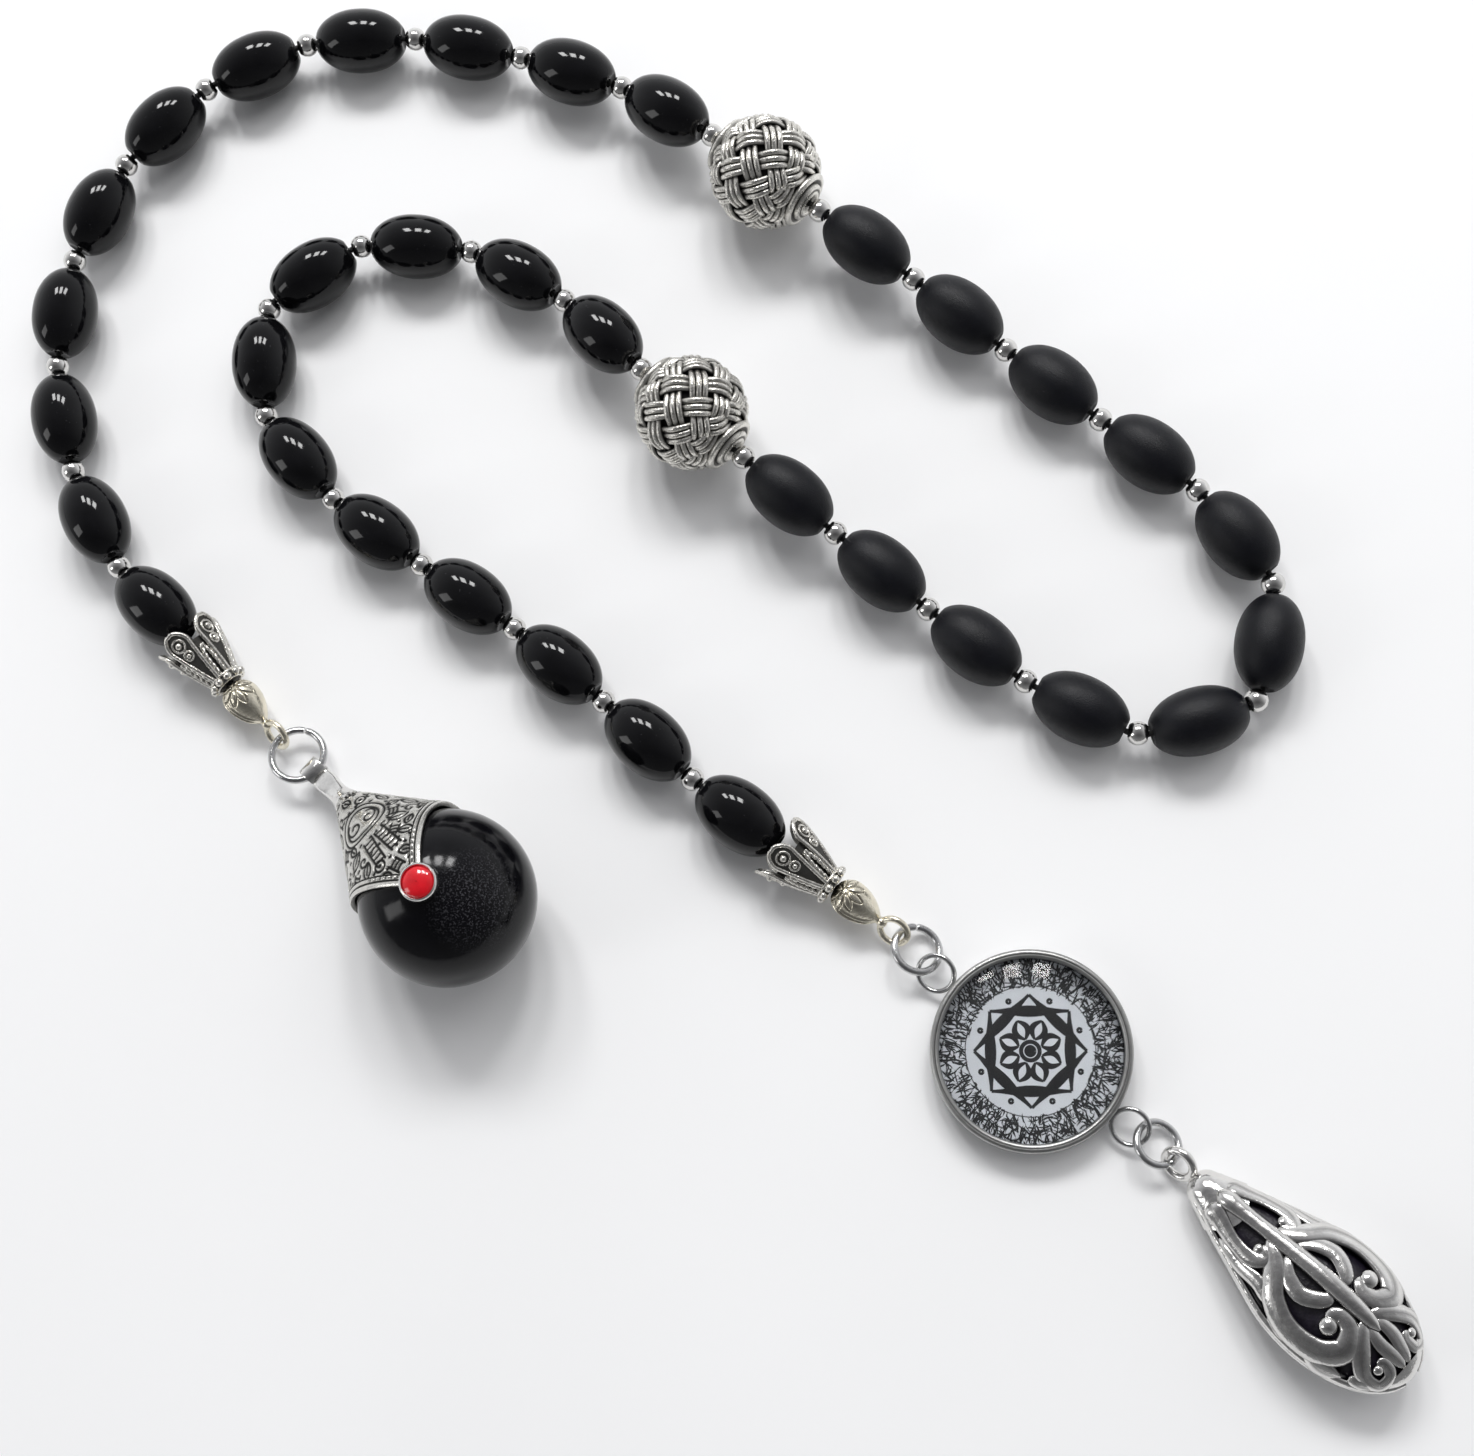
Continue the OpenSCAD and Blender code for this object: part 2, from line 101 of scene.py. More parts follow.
HEADING_A, HEADING_B, END_DROP = -47, -37, -6
PIVOT_A = MIDDLES[0] - reach(0) * DIRS[0]
PIVOT_B = MIDDLES[LAST] + reach(LAST) * DIRS[LAST]
DIR_A, DIR_B = aim(HEADING_A, END_DROP), aim(HEADING_B, END_DROP)
CROWN_FROM, CROWN_LEN, CROWN_R, PETALS, PETAL_TURN = -0.6, 8.4, 4.0, 5, -18
TIP_R, TIP_NOSE, EYE_R, EYE_WIRE_R = 2.25, 4.4, 1.7, 0.4
TIP_MID = CROWN_FROM + CROWN_LEN + 0.1 + TIP_R
EYE_MID = TIP_MID + TIP_NOSE + EYE_R + 0.15
WIRE_R = 0.45
HANG = EYE_MID + EYE_R - EYE_WIRE_R - WIRE_R - 0.2
RING_A_R, RING_B_R, RING_C_R = 3.2, 2.75, 2.5
RING_A_AT, RING_B_AT, DISC_AT, BOTTOM_AT, RING_C_AT = -42, -52, -40, -38, -32
RING_A_LIFT = 3


def on_ring(radius, heading, lift, lean, turn):
    h, l = math.radians(heading), math.radians(lift)
    c, s = math.cos(math.radians(lean)), math.sin(math.radians(lean))
    level = np.array([-math.sin(h), math.cos(h), 0])
    side = c * level - s * np.array([math.cos(h) * math.sin(l), math.sin(h) * math.sin(l), -math.cos(l)])
    t = math.radians(turn)
    return radius * (math.cos(t) * aim(heading, lift) + math.sin(t) * side)


BALL_R = 10.25
RING_A_MID = PIVOT_A + HANG * DIR_A + RING_A_R * aim(RING_A_AT, RING_A_LIFT)
ROLL_AT = RING_A_MID + RING_A_R * aim(RING_A_AT, RING_A_LIFT)
CAP_WALL, CAP_GAP, DROP_LEN = 0.55, 0.05, 26.3
DROP_HEADING = -41
DROP_LIFT = math.degrees(math.asin((BALL_R + CAP_GAP + CAP_WALL - ROLL_AT[2]) / DROP_LEN))
RING_LEAN, LINK, FIXED_R, FIXED_WIRE_R = 25, 3.5, 2.15, 0.3
RING_B_MID = PIVOT_B + HANG * DIR_B - on_ring(RING_B_R, RING_B_AT, 0, -RING_LEAN, 194)
DISC_R, DOME_H = 11.5, 2.0
FIXED_OUT = DISC_R + FIXED_R + 0.2
FIXED_Z = RING_B_MID[2] - 0.1
FIXED_TOP = RING_B_MID + LINK * aim(RING_B_AT)
DISC_MID = np.array([FIXED_TOP[0], FIXED_TOP[1], 0]) + FIXED_OUT * aim(DISC_AT)
FIXED_BOTTOM = DISC_MID + FIXED_OUT * aim(BOTTOM_AT) + np.array([0, 0, FIXED_Z])
RING_C_MID = FIXED_BOTTOM + LINK * aim(RING_C_AT)
TEAR_HEADING, TEAR_LIFT = -44, 6.5
BAIL_R, BAIL_WIRE_R, BAIL_LEAN = 1.75, 0.5, 50
BAIL_MID = RING_C_MID + RING_C_R * aim(TEAR_HEADING) + (
    BAIL_R - BAIL_WIRE_R - WIRE_R - 0.15
) * aim(TEAR_HEADING, TEAR_LIFT)

# ---------------- mesh tools, all in millimetres


def frame_of(heading, lift=0.0):
    """Columns: local X (down), local Y (sideways), local Z (along the heading)."""
    z = aim(heading, lift)
    h = math.radians(heading)
    y = np.array([-math.sin(h), math.cos(h), 0])
    return np.stack([np.cross(y, z), y, z], axis=1)


def frame_along(direction):
    d = unit(direction)
    return frame_of(math.degrees(math.atan2(d[1], d[0])), math.degrees(math.asin(d[2])))


class Shape:
    """Vertices and faces of one piece, in millimetres, with a shade value: 1 is bright, 0 a dark recess."""

    def __init__(self):
        self.v, self.f, self.m, self.s, self.n = [], [], [], [], 0

    def add(self, verts, faces, shade=None):
        verts = np.asarray(verts, float)
        self.v.append(verts)
        self.s.append(np.ones(len(verts)) if shade is None else np.asarray(shade, float).ravel())
        self.f.extend([tuple(int(k) + self.n for k in f) for f in faces])
        self.m.extend([0] * len(faces))
        self.n += len(verts)
        return self

    def moved(self, turn, at):
        out = Shape()
        out.v = [v @ np.asarray(turn).T + np.asarray(at) for v in self.v]
        out.f, out.m, out.s, out.n = list(self.f), list(self.m), list(self.s), self.n
        return out

    def join(self, other):
        self.v += other.v
        self.s += other.s
        self.f.extend([tuple(k + self.n for k in f) for f in other.f])
        self.m.extend(other.m)
        self.n += other.n
        return self


def grid_faces(rows, cols, close_rows=False, close_cols=False, flip=False):
    out = []
    for r in range(rows if close_rows else rows - 1):
        for c in range(cols if close_cols else cols - 1):
            a, b = r * cols + c, r * cols + (c + 1) % cols
            d, e = ((r + 1) % rows) * cols + c, ((r + 1) % rows) * cols + (c + 1) % cols
            out.append((a, d, e, b) if flip else (a, b, e, d))
    return out


def capped_faces(rows, cols, flip=False):
    """The faces of a skin of closed rings, with a cap over its first and its last ring."""
    last = (rows - 1) * cols
    ends = [tuple(range(cols - 1, -1, -1)), tuple(range(last, last + cols))]
    if flip:
        ends = [end[::-1] for end in ends]
    return grid_faces(rows, cols, close_cols=True, flip=flip) + ends


def round_points(r, z, n=40):
    """Points round the Z axis, at height z."""
    t = np.linspace(0, 2 * math.pi, n, endpoint=False)
    return np.stack([r * np.cos(t), r * np.sin(t), np.full(n, z)], 1)


def lathe(profile, n=48, shade=None, faces=None):
    """A closed loop of (radius, z) points turned about Z. Points run with the solid on their left."""
    p = np.asarray(profile, float)
    t = np.linspace(0, 2 * math.pi, n, endpoint=False)
    v = np.stack(
        [p[:, None, 0] * np.cos(t), p[:, None, 0] * np.sin(t), np.repeat(p[:, 1:2], n, axis=1)], axis=-1
    ).reshape(-1, 3)
    s = None if shade is None else np.repeat(np.asarray(shade, float), n)
    return Shape().add(v, faces or grid_faces(len(p), n, close_rows=True, close_cols=True), s)


def tube(path, radius, sides=10, closed=False, flat=1.0, up=None):
    """A round or flattened tube along a path; radius may vary along it."""
    p = np.asarray(path, float)
    n = len(p)
    rad = np.broadcast_to(np.asarray(radius, float), (n,))[:, None, None]
    d = np.roll(p, -1, 0) - np.roll(p, 1, 0) if closed else np.gradient(p, axis=0)
    d = d / np.linalg.norm(d, axis=1)[:, None]
    if up is None:
        ref = np.array([0, 0, 1.0]) if abs(d[0][2]) < 0.9 else np.array([1.0, 0, 0])
        side = [unit(np.cross(ref, d[0]))]
        for k in range(1, n):
            side.append(unit(side[-1] - (side[-1] @ d[k]) * d[k]))
        side = np.array(side)
    else:
        up = np.broadcast_to(np.asarray(up, float), (n, 3))
        side = np.cross(up, d)
        side = side / np.linalg.norm(side, axis=1)[:, None]
    lift = np.cross(d, side)
    a = np.linspace(0, 2 * math.pi, sides, endpoint=False)
    across, over = np.cos(a)[None, :, None], np.sin(a)[None, :, None]
    v = (p[:, None, :] + rad * across * side[:, None, :] + flat * rad * over * lift[:, None, :]).reshape(-1, 3)
    f = grid_faces(n, sides, close_rows=True, close_cols=True) if closed else capped_faces(n, sides)
    return Shape().add(v, f)


def ball(at, r, n=14, squash=1.0, axis=(0, 0, 1)):
    turns = np.linspace(0.02, math.pi - 0.02, n // 2 + 1)
    p = [(max(r * math.sin(t), 1e-4), -r * math.cos(t) * squash) for t in turns]
    return lathe(p, n, faces=capped_faces(len(p), n)).moved(turn_to(axis), at)


def turn_to(axis):
    z = unit(axis)
    ref = np.array([1.0, 0, 0]) if abs(z[0]) < 0.9 else np.array([0, 1.0, 0])
    x = unit(np.cross(ref, z))
    return np.stack([x, np.cross(z, x), z], axis=1)


def ring_path(radius, lean, n=64, gap=0.0, gap_at=0.0):
    """A wire ring's middle line in its own frame: the plane of Z and Y, leaned about Z."""
    if gap:
        t = np.radians(gap_at + gap / 2 + np.linspace(0, 360 - gap, n))
    else:
        t = np.linspace(0, 2 * math.pi, n, endpoint=False)
    x, y, z = np.zeros(len(t)), radius * np.sin(t), -radius * np.cos(t)
    c, s = math.cos(math.radians(lean)), math.sin(math.radians(lean))
    return np.stack([c * x - s * y, s * x + c * y, z], axis=1)


def make(name, shape, body, mats, nodes=(), angle=38, blend=None):
    v = np.concatenate(shape.v) * MM
    me = bpy.data.meshes.new(name)
    me.from_pydata(v.tolist(), [], shape.f)
    for m in mats if isinstance(mats, (list, tuple)) else [mats]:
        me.materials.append(m)
    me.polygons.foreach_set("material_index", shape.m)
    me.polygons.foreach_set("use_smooth", [True] * len(shape.f))
    att = me.attributes.new("shade", "FLOAT", "POINT")
    att.data.foreach_set("value", np.concatenate(shape.s).astype(np.float32))
    me.set_sharp_from_angle(angle=math.radians(angle))
    me.update()
    o = bpy.data.objects.new(name, me)
    bpy.context.scene.collection.objects.link(o)
    if blend:
        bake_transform(o)
    else:
        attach(o, body)
    if nodes:
        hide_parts(*nodes)
    return o

# ---------------- materials


def material(name, base, rough, metal=0.0, dark=(0.01, 0.01, 0.011), dark_rough=None, var=0.08,
             var_scale=400.0, rough_var=0.04, bump=(3000.0, 0.05), coat=0.0, wear_and_painted_shading=None, shaded=False, masked=False,
             ior=1.5):
    """base and dark meet by the piece's shade attribute; noise varies colour, roughness and bump."""
    m = bpy.data.materials.new(name)
    m.use_nodes = True
    nt = m.node_tree
    nodes, links = nt.nodes, nt.links
    bsdf = nodes["Principled BSDF"]
    bsdf.inputs["Metallic"].default_value = metal
    bsdf.inputs["IOR"].default_value = ior
    bsdf.inputs["Coat Weight"].default_value = coat
    bsdf.inputs["Coat Roughness"].default_value = 0.03
    tc = nodes.new("ShaderNodeTexCoord")

    def noise(scale, detail=4.0):
        n = nodes.new("ShaderNodeTexNoise")
        n.inputs["Scale"].default_value = scale
        n.inputs["Detail"].default_value = detail
        links.new(tc.outputs["Object"], n.inputs["Vector"])
        return n.outputs["Fac"]

    def ramp(fac, stops):
        r = nodes.new("ShaderNodeValToRGB")
        while len(r.color_ramp.elements) < len(stops):
            r.color_ramp.elements.new(0.5)
        for e, (p, c) in zip(r.color_ramp.elements, stops, strict=True):
            e.position, e.color = p, (*c, 1.0)
        links.new(fac, r.inputs["Fac"])
        return r.outputs["Color"]

    def mix(fac, a, b, kind="MIX"):
        x = nodes.new("ShaderNodeMix")
        x.data_type, x.blend_type = "RGBA", kind
        links.new(fac, x.inputs[0])
        for k, val in ((6, a), (7, b)):
            if isinstance(val, tuple):
                x.inputs[k].default_value = (*val, 1.0)
            else:
                links.new(val, x.inputs[k])
        return x.outputs[2]

    def mix_value(fac, a, b):
        x = nodes.new("ShaderNodeMix")
        x.data_type = "FLOAT"
        links.new(fac, x.inputs[0])
        for k, val in ((2, a), (3, b)):
            if isinstance(val, float):
                x.inputs[k].default_value = val
            else:
                links.new(val, x.inputs[k])
        return x.outputs[0]

    def shade_value():
        x = nodes.new("ShaderNodeAttribute")
        x.attribute_name = "shade"
        return x.outputs["Fac"]

    low = tuple(c * (1 - var) for c in base)
    high = tuple(min(1.0, c * (1 + var)) for c in base)
    color = ramp(noise(var_scale), [(0.3, low), (0.7, high)])
    r = nodes.new("ShaderNodeMapRange")
    links.new(noise(var_scale * 2.3), r.inputs["Value"])
    r.inputs["From Min"].default_value, r.inputs["From Max"].default_value = 0.3, 0.7
    r.inputs["To Min"].default_value, r.inputs["To Max"].default_value = rough - rough_var, rough + rough_var
    rough_out = r.outputs["Result"]
    if wear_and_painted_shading:
        scale, low_at, high_at, worn_color, worn_rough = wear_and_painted_shading
        spots = ramp(noise(scale, 6.0), [(low_at, (0, 0, 0)), (high_at, (1, 1, 1))])
        if masked:
            spots = mix(shade_value(), (0, 0, 0), spots)
        color = mix(spots, color, worn_color)
        rough_out = mix_value(spots, rough_out, worn_rough)
    if shaded:
        bright = shade_value()
        color = mix(bright, dark, color)
        rough_out = mix_value(bright, dark_rough or 0.6, rough_out)
    links.new(color, bsdf.inputs["Base Color"])
    links.new(rough_out, bsdf.inputs["Roughness"])
    if bump[1]:
        b = nodes.new("ShaderNodeBump")
        b.inputs["Strength"].default_value = bump[1]
        b.inputs["Distance"].default_value = 0.0002
        links.new(noise(bump[0], 5.0), b.inputs["Height"])
        links.new(b.outputs["Normal"], bsdf.inputs["Normal"])
    return m


GLOSSY = material("glossy_black", (0.0035, 0.0035, 0.0042), 0.07, var=0.3, rough_var=0.02, bump=(900, 0.02),
                  wear_and_painted_shading=(2600, 0.68, 0.74, (0.02, 0.02, 0.022), 0.22), ior=1.35)
MATTE = material("satin_black", (0.0024, 0.0027, 0.0048), 0.42, var=0.25, rough_var=0.05, bump=(9000, 0.25),
                 wear_and_painted_shading=(3000, 0.72, 0.76, (0.03, 0.03, 0.034), 0.6), ior=1.36)
STEEL = material("polished_steel", (0.72, 0.71, 0.69), 0.13, metal=1.0, var=0.06, bump=(2500, 0.05), shaded=True)
ANTIQUE = material("antique_silver", (0.76, 0.74, 0.69), 0.24, metal=1.0, dark=(0.012, 0.012, 0.012),
                   var=0.12, var_scale=900, rough_var=0.07, bump=(4000, 0.35), shaded=True)
CHAMPAGNE = material("champagne_silver", (0.80, 0.75, 0.62), 0.2, metal=1.0, dark=(0.09, 0.075, 0.05),
                     dark_rough=0.45, var=0.1, var_scale=700, bump=(2600, 0.3), shaded=True)
WIRE = material("bright_wire", (0.54, 0.54, 0.54), 0.16, metal=1.0, var=0.1, var_scale=800, bump=(3000, 0.15),
                wear_and_painted_shading=(1500, 0.62, 0.7, (0.45, 0.45, 0.46), 0.3))
HOOD = material("engraved_silver", (0.62, 0.61, 0.575), 0.25, metal=1.0, dark=(0.008, 0.008, 0.008), var=0.08,
                var_scale=1200, bump=(3500, 0.25), shaded=True)
BALL = material("black_ball", (0.0025, 0.0025, 0.0035), 0.13, var=0.3, bump=(700, 0.06), rough_var=0.05,
                wear_and_painted_shading=(4500, 0.52, 0.64, (0.045, 0.045, 0.05), 0.25), masked=True, ior=1.3)
RED = material("red_enamel", (0.60, 0.004, 0.012), 0.12, var=0.12, var_scale=900, coat=0.6, bump=(1200, 0.08))
SATIN = material("satin_steel", (0.42, 0.42, 0.41), 0.36, metal=1.0, var=0.08, var_scale=700, rough_var=0.06,
                 bump=(5000, 0.2), shaded=True)
PAPER = material("pale_print", (0.62, 0.64, 0.67), 0.45, var=0.03, var_scale=500, bump=(6000, 0.1))
INK = material("black_ink", (0.006, 0.006, 0.007), 0.4, var=0.3, var_scale=2500, bump=(6000, 0.1))
SILVER = material("bright_silver", (0.76, 0.75, 0.73), 0.12, metal=1.0, dark=(0.02, 0.018, 0.026), var=0.07,
                  var_scale=600, rough_var=0.05, bump=(1100, 0.32), shaded=True)
# painted shade: the dark skin inside the filigree teardrop, for the shade in its hollow
HOLLOW_SHADE = material("painted_hollow_shade", (0.008, 0.006, 0.012), 0.4, var=0.4, var_scale=900, bump=(2500, 0.4))
# painted shade: the dark ball inside each woven bead, for the shade in its hollow
WOVEN_INNER_SHADE = material("painted_inner_shade", (0.035, 0.034, 0.032), 0.5, var=0.5, var_scale=700, bump=(2500, 0.5))
CORD = material("black_thread", (0.008, 0.008, 0.008), 0.6, var=0.3, var_scale=4000, bump=(12000, 0.5))
BRASSY = material("crimp_metal", (0.70, 0.66, 0.52), 0.3, metal=1.0)
GLASS = material("clear_glass", (0.95, 0.97, 0.98), 0.03, var=0.01, rough_var=0.01, bump=(400, 0.01))
glass_bsdf = GLASS.node_tree.nodes["Principled BSDF"]
glass_bsdf.inputs["Transmission Weight"].default_value = 1.0
glass_bsdf.inputs["IOR"].default_value = 1.08
glass_bsdf.inputs["Coat Weight"].default_value = 1.0
glass_bsdf.inputs["Alpha"].default_value = 0.35

# ---------------- beads, spacers and thread

OVAL_HALF, OVAL_POWER, BALL_SPACER_R = 6.0, 2.1, 1.42


def bead_profile():
    """Half of an oval, with a dimple at each end in which the spacer turns."""
    zs = 5.5 * np.sin(np.linspace(0, math.pi / 2, 24))
    half = [(BEAD_R * math.sqrt(1 - (z / OVAL_HALF) ** OVAL_POWER), z) for z in zs]
    half += [(1.41, 5.62), (1.36, 5.61), (1.28, 5.56), (1.18, 5.49), (1.05, 5.44), (0.9, 5.38), (HOLE_R, 5.3)]
    return [(r, -z) for r, z in half[:0:-1]] + half


def spacer_profile():
    zs = 1.12 * np.sin(np.linspace(0, math.pi / 2, 14))
    half = [(math.sqrt(BALL_SPACER_R**2 - z * z), z) for z in zs]
    half += [(HOLE_R + 0.12, 1.13), (HOLE_R, 1.03)]
    return [(r, -z) for r, z in half[:0:-1]] + half


def place_of(bead):
    return bead - 1 + (bead > 11) + (bead > 22)


OVAL, SPACER = lathe(bead_profile(), 56), lathe(spacer_profile(), 32)
LINKS = [("link_01", ["bead_01", "spacer_01"], [1], [0])]
for first, last, shift, single in ((2, 10, -1, 12), (13, 21, 0, 23), (24, 30, 1, None)):
    for n in range(first, last + 1, 2):
        t = f"{n:02d}_{n + 1:02d}"
        LINKS.append((f"link_{t}", [f"beads_{t}", f"spacers_{t}"], [n, n + 1], [n + shift, n + shift + 1]))
    if single:
        gaps = [single + shift, single + shift + 1]
        LINKS.append((f"link_{single}", [f"bead_{single}", f"spacers_{single}"], [single], gaps))
LINKS.append(("link_32_33", ["beads_32_33", "spacer_32_33"], [32, 33], [33]))
for body, nodes, beads, gaps in LINKS:
    satin = 12 <= beads[0] <= 22
    for b in beads:
        i = place_of(b)
        s = OVAL.moved(frame_of(HEADINGS[i], rise(i)), MIDDLES[i])
        make(f"oval_bead_{b:02d}", s, body, MATTE if satin else GLOSSY, [nodes[0]],
             angle=60)
    for g in gaps:
        at, d = spacer_place(g)
        make(f"spacer_ring_{g + 1:02d}", SPACER.moved(frame_along(d), at), body, STEEL, [nodes[1]])

# bodies in order along the strand, with their first and last places
ORDER = [(body, place_of(beads[0]), place_of(beads[-1])) for body, _, beads, _ in LINKS]
ORDER = sorted([*ORDER, ("woven_1", 11, 11), ("woven_2", 23, 23)], key=lambda r: r[1])
THREAD_R, BEND_HALF = 0.35, 0.35


def thread(name, body, points, blend=None):
    p = np.array(points)
    steps = [np.linspace(a, b, 8, endpoint=False) for a, b in zip(p[:-1], p[1:], strict=True)]
    make(name, tube(np.concatenate([*steps, p[-1:]]), THREAD_R, 10), body, CORD, ["thread"], blend=blend)


for k, (body, first, last) in enumerate(ORDER):
    if last > first:
        thread(f"thread_in_{k:02d}", body, [
            MIDDLES[first], MIDDLES[first] + reach(first) * DIRS[first],
            MIDDLES[last] - reach(last) * DIRS[last], MIDDLES[last],
        ])
    if k + 1 < len(ORDER):
        after, nxt = ORDER[k + 1][0], ORDER[k + 1][1]
        a, b = MIDDLES[last] + reach(last) * DIRS[last], MIDDLES[nxt] - reach(nxt) * DIRS[nxt]
        hinge = a if last in WOVEN_PLACES else b
        along = unit(b - a)
        thread(f"thread_over_{k:02d}", None, [MIDDLES[last], a, b, MIDDLES[nxt]],
               (body, after, hinge - BEND_HALF * along, hinge + BEND_HALF * along))
for end, body, pivot, d, i in (("a", "link_01", PIVOT_A, DIR_A, 0), ("b", "link_32_33", PIVOT_B, DIR_B, LAST)):
    thread(f"thread_end_{end}", None, [MIDDLES[i], pivot, pivot + (TIP_MID + 0.9) * d],
           (body, f"end_{end}", pivot - BEND_HALF * d, pivot + BEND_HALF * d))

# ---------------- woven beads

LEADS, BIGHTS, WEAVE_LIFT = 8, 9, math.radians(52)


def woven_weave():
    """One endless band of three cords, laid round the ball as a many-stranded sailor's knot."""
    cord_r, mean_r, swing = 0.385, 6.2, 0.4
    t = np.linspace(0, 2 * math.pi * BIGHTS, 2600, endpoint=False)
    knots = [j for j in range(2 * LEADS) if j % LEADS]
    over = [(-1.0) ** (j + 1 if j < LEADS else j) for j in knots]
    wave = np.interp((t % (2 * math.pi)) * LEADS / math.pi, knots, over, period=2 * LEADS)
    wave = np.sin(wave * math.pi / 2)
    lift, turn = WEAVE_LIFT * np.cos(t), t * LEADS / BIGHTS
    d = np.stack([np.cos(lift) * np.cos(turn), np.cos(lift) * np.sin(turn), np.sin(lift)], 1)
    along = np.roll(d, -1, 0) - np.roll(d, 1, 0)
    side = np.cross(d, along)
    side = side / np.linalg.norm(side, axis=1)[:, None]
    out = Shape()
    for slant in (-1, 0, 1):
        off = slant * 1.96 * cord_r / mean_r
        path = (mean_r + swing * wave)[:, None] * (math.cos(off) * d + math.sin(off) * side)
        c = tube(path, cord_r, 8, closed=True, up=d)
        depth = np.linalg.norm(c.v[0], axis=1) - np.repeat(np.linalg.norm(path, axis=1), 8)
        c.s = [np.clip((depth - 0.05) / 0.2, 0, 1) * np.repeat(0.8 + 0.2 * wave, 8)]
        out.join(c)
    return out


def woven_collars():
    half = [
        (3.35, 5.7, 0.1), (3.6, 6.0, 0.7), (3.58, 6.3, 1), (3.36, 6.52, 1), (3.1, 6.54, 1), (2.9, 6.4, 0.2),
        (2.5, 6.42, 0.1), (2.46, 6.7, 0.9), (2.36, 6.92, 1), (2.12, 7.03, 1), (1.95, 6.96, 0.3), (1.75, 6.98, 0.2),
        (1.68, 7.1, 1), (1.5, 7.2, 1), (1.34, 7.15, 1), (1.15, 7.0, 0.7), (0.9, 6.86, 0.4), (0.62, 6.82, 0.3),
    ]
    up = [(r, z) for r, z, _ in half]
    shade = [s for _, _, s in half]
    loop = [(r, -z) for r, z in reversed(up)] + up
    return lathe(loop, 48, shade=shade[::-1] + shade)


WEAVE = woven_weave().join(woven_collars())
# a dark ball inside each woven bead: painted shade filling its hollow, seen through the weave; it also hides the
# thread
CORE = ball((0, 0, 0), 5.55, 40)
for name, i in (("woven_1", 11), ("woven_2", 23)):
    turn = frame_of(HEADINGS[i], rise(i))
    make(f"{name}_weave", WEAVE.moved(turn, MIDDLES[i]), name, ANTIQUE, [name.replace("_", "_bead_")],
         50)
    make(f"{name}_core", CORE.moved(turn, MIDDLES[i]), name, WOVEN_INNER_SHADE, (), 60)

# ---------------- crown caps, bead tips and crimps


def cone_r(z):
    s = (z - CROWN_FROM) / 7.6
    return CROWN_R - (CROWN_R - 1.75) * s + 0.22 * math.sin(math.pi * min(max(s, 0), 1))


def on_cone(turn, z, out=0.0):
    r = cone_r(z) + out
    return np.array([r * math.cos(turn), r * math.sin(turn), z])


def crown_shape():
    """Petals in wire outline with grains and scrolls, twisted wires between them, and a beaded collar."""
    out = Shape()
    wall, top = 0.42, 6.9
    z0 = CROWN_FROM + 0.05

    def half_turn(z):
        """Half the angle that a petal takes at this height: round at its free end, narrow at its foot."""
        s = (z - z0) / (top - z0)
        w = 1.66 * math.sqrt(max(1 - (1 - min(s / 0.27, 1)) ** 2, 0)) * (1 - 0.8 * max(s - 0.2, 0) / 0.8)
        return w / cone_r(z)

    zs = z0 + (top - z0) * np.linspace(0, 1, 26) ** 1.6
    us = np.linspace(-1, 1, 11)
    for k in range(PETALS):
        mid = 2 * math.pi * k / PETALS
        outer = np.array([[on_cone(mid + u * max(half_turn(z), 0.02), z, 0.0) for u in us] for z in zs])
        inner = np.array([[on_cone(mid + u * max(half_turn(z), 0.02), z, -wall) for u in us] for z in zs])
        rows, cols = len(zs), len(us)
        ring = np.concatenate([outer, inner[:, ::-1]], axis=1)
        shade = np.tile(np.r_[np.full(cols, 0.12), np.full(cols, 0.5)], rows)
        out.add(ring.reshape(-1, 3), capped_faces(rows, 2 * cols), shade)
        edge_z = zs[1:]
        side = [on_cone(mid + half_turn(z) * 0.93, z, 0.04) for z in edge_z]
        other = [on_cone(mid - half_turn(z) * 0.93, z, 0.04) for z in edge_z]
        out.join(tube(other[::-1] + [on_cone(mid, z0 + 0.12, 0.04)] + side, 0.27, 9))
        for z, r, loop in ((1.15, 0.44, 0.78), (2.75, 0.34, 0.56)):
            out.join(ball(on_cone(mid, z, 0.06), r, 14))
            t = np.linspace(0, 2 * math.pi, 28, endpoint=False)
            pts = [on_cone(mid + loop * math.sin(a) / cone_r(z), z - loop * math.cos(a), 0.06) for a in t]
            out.join(tube(pts, 0.15, 8, closed=True))
        between = mid + math.pi / PETALS
        line = np.linspace(2.6, top - 0.1, 44)
        for strand in (-1, 1):
            for phase in (0, math.pi):
                pts = []
                for a, z in zip(line * 4.4 + phase, line, strict=True):
                    off = strand * (0.12 + 0.3 * min((z - 2.6) / 1.6, 1)) + 0.1 * math.sin(a)
                    pts.append(on_cone(between + off / cone_r(z), z, -0.06 + 0.1 * math.cos(a)))
                out.join(tube(pts, 0.19, 8))
    skin = [(cone_r(z) - wall - 0.02, z) for z in np.linspace(1.5, 7.0, 12)]
    skin = [(cone_r(1.5) - wall - 0.4, 1.5)] + skin + [(1.9, 7.05), (1.95, 7.75), (HOLE_R, 7.8), (HOLE_R, 6.6)]
    skin += [(cone_r(6.5) - wall - 0.5, 6.5), (cone_r(4) - wall - 0.4, 4)]
    out.join(lathe(skin, 40, shade=[0.1] * len(skin)))
    for k in range(10):
        a = 2 * math.pi * k / 10
        out.join(ball((2.05 * math.cos(a), 2.05 * math.sin(a), 7.38), 0.54, 14, squash=0.92))
    for r, z, w in ((1.98, 6.85, 0.18), (1.7, 7.78, 0.14)):
        out.join(tube(round_points(r, z), w, 8, closed=True))
    return out


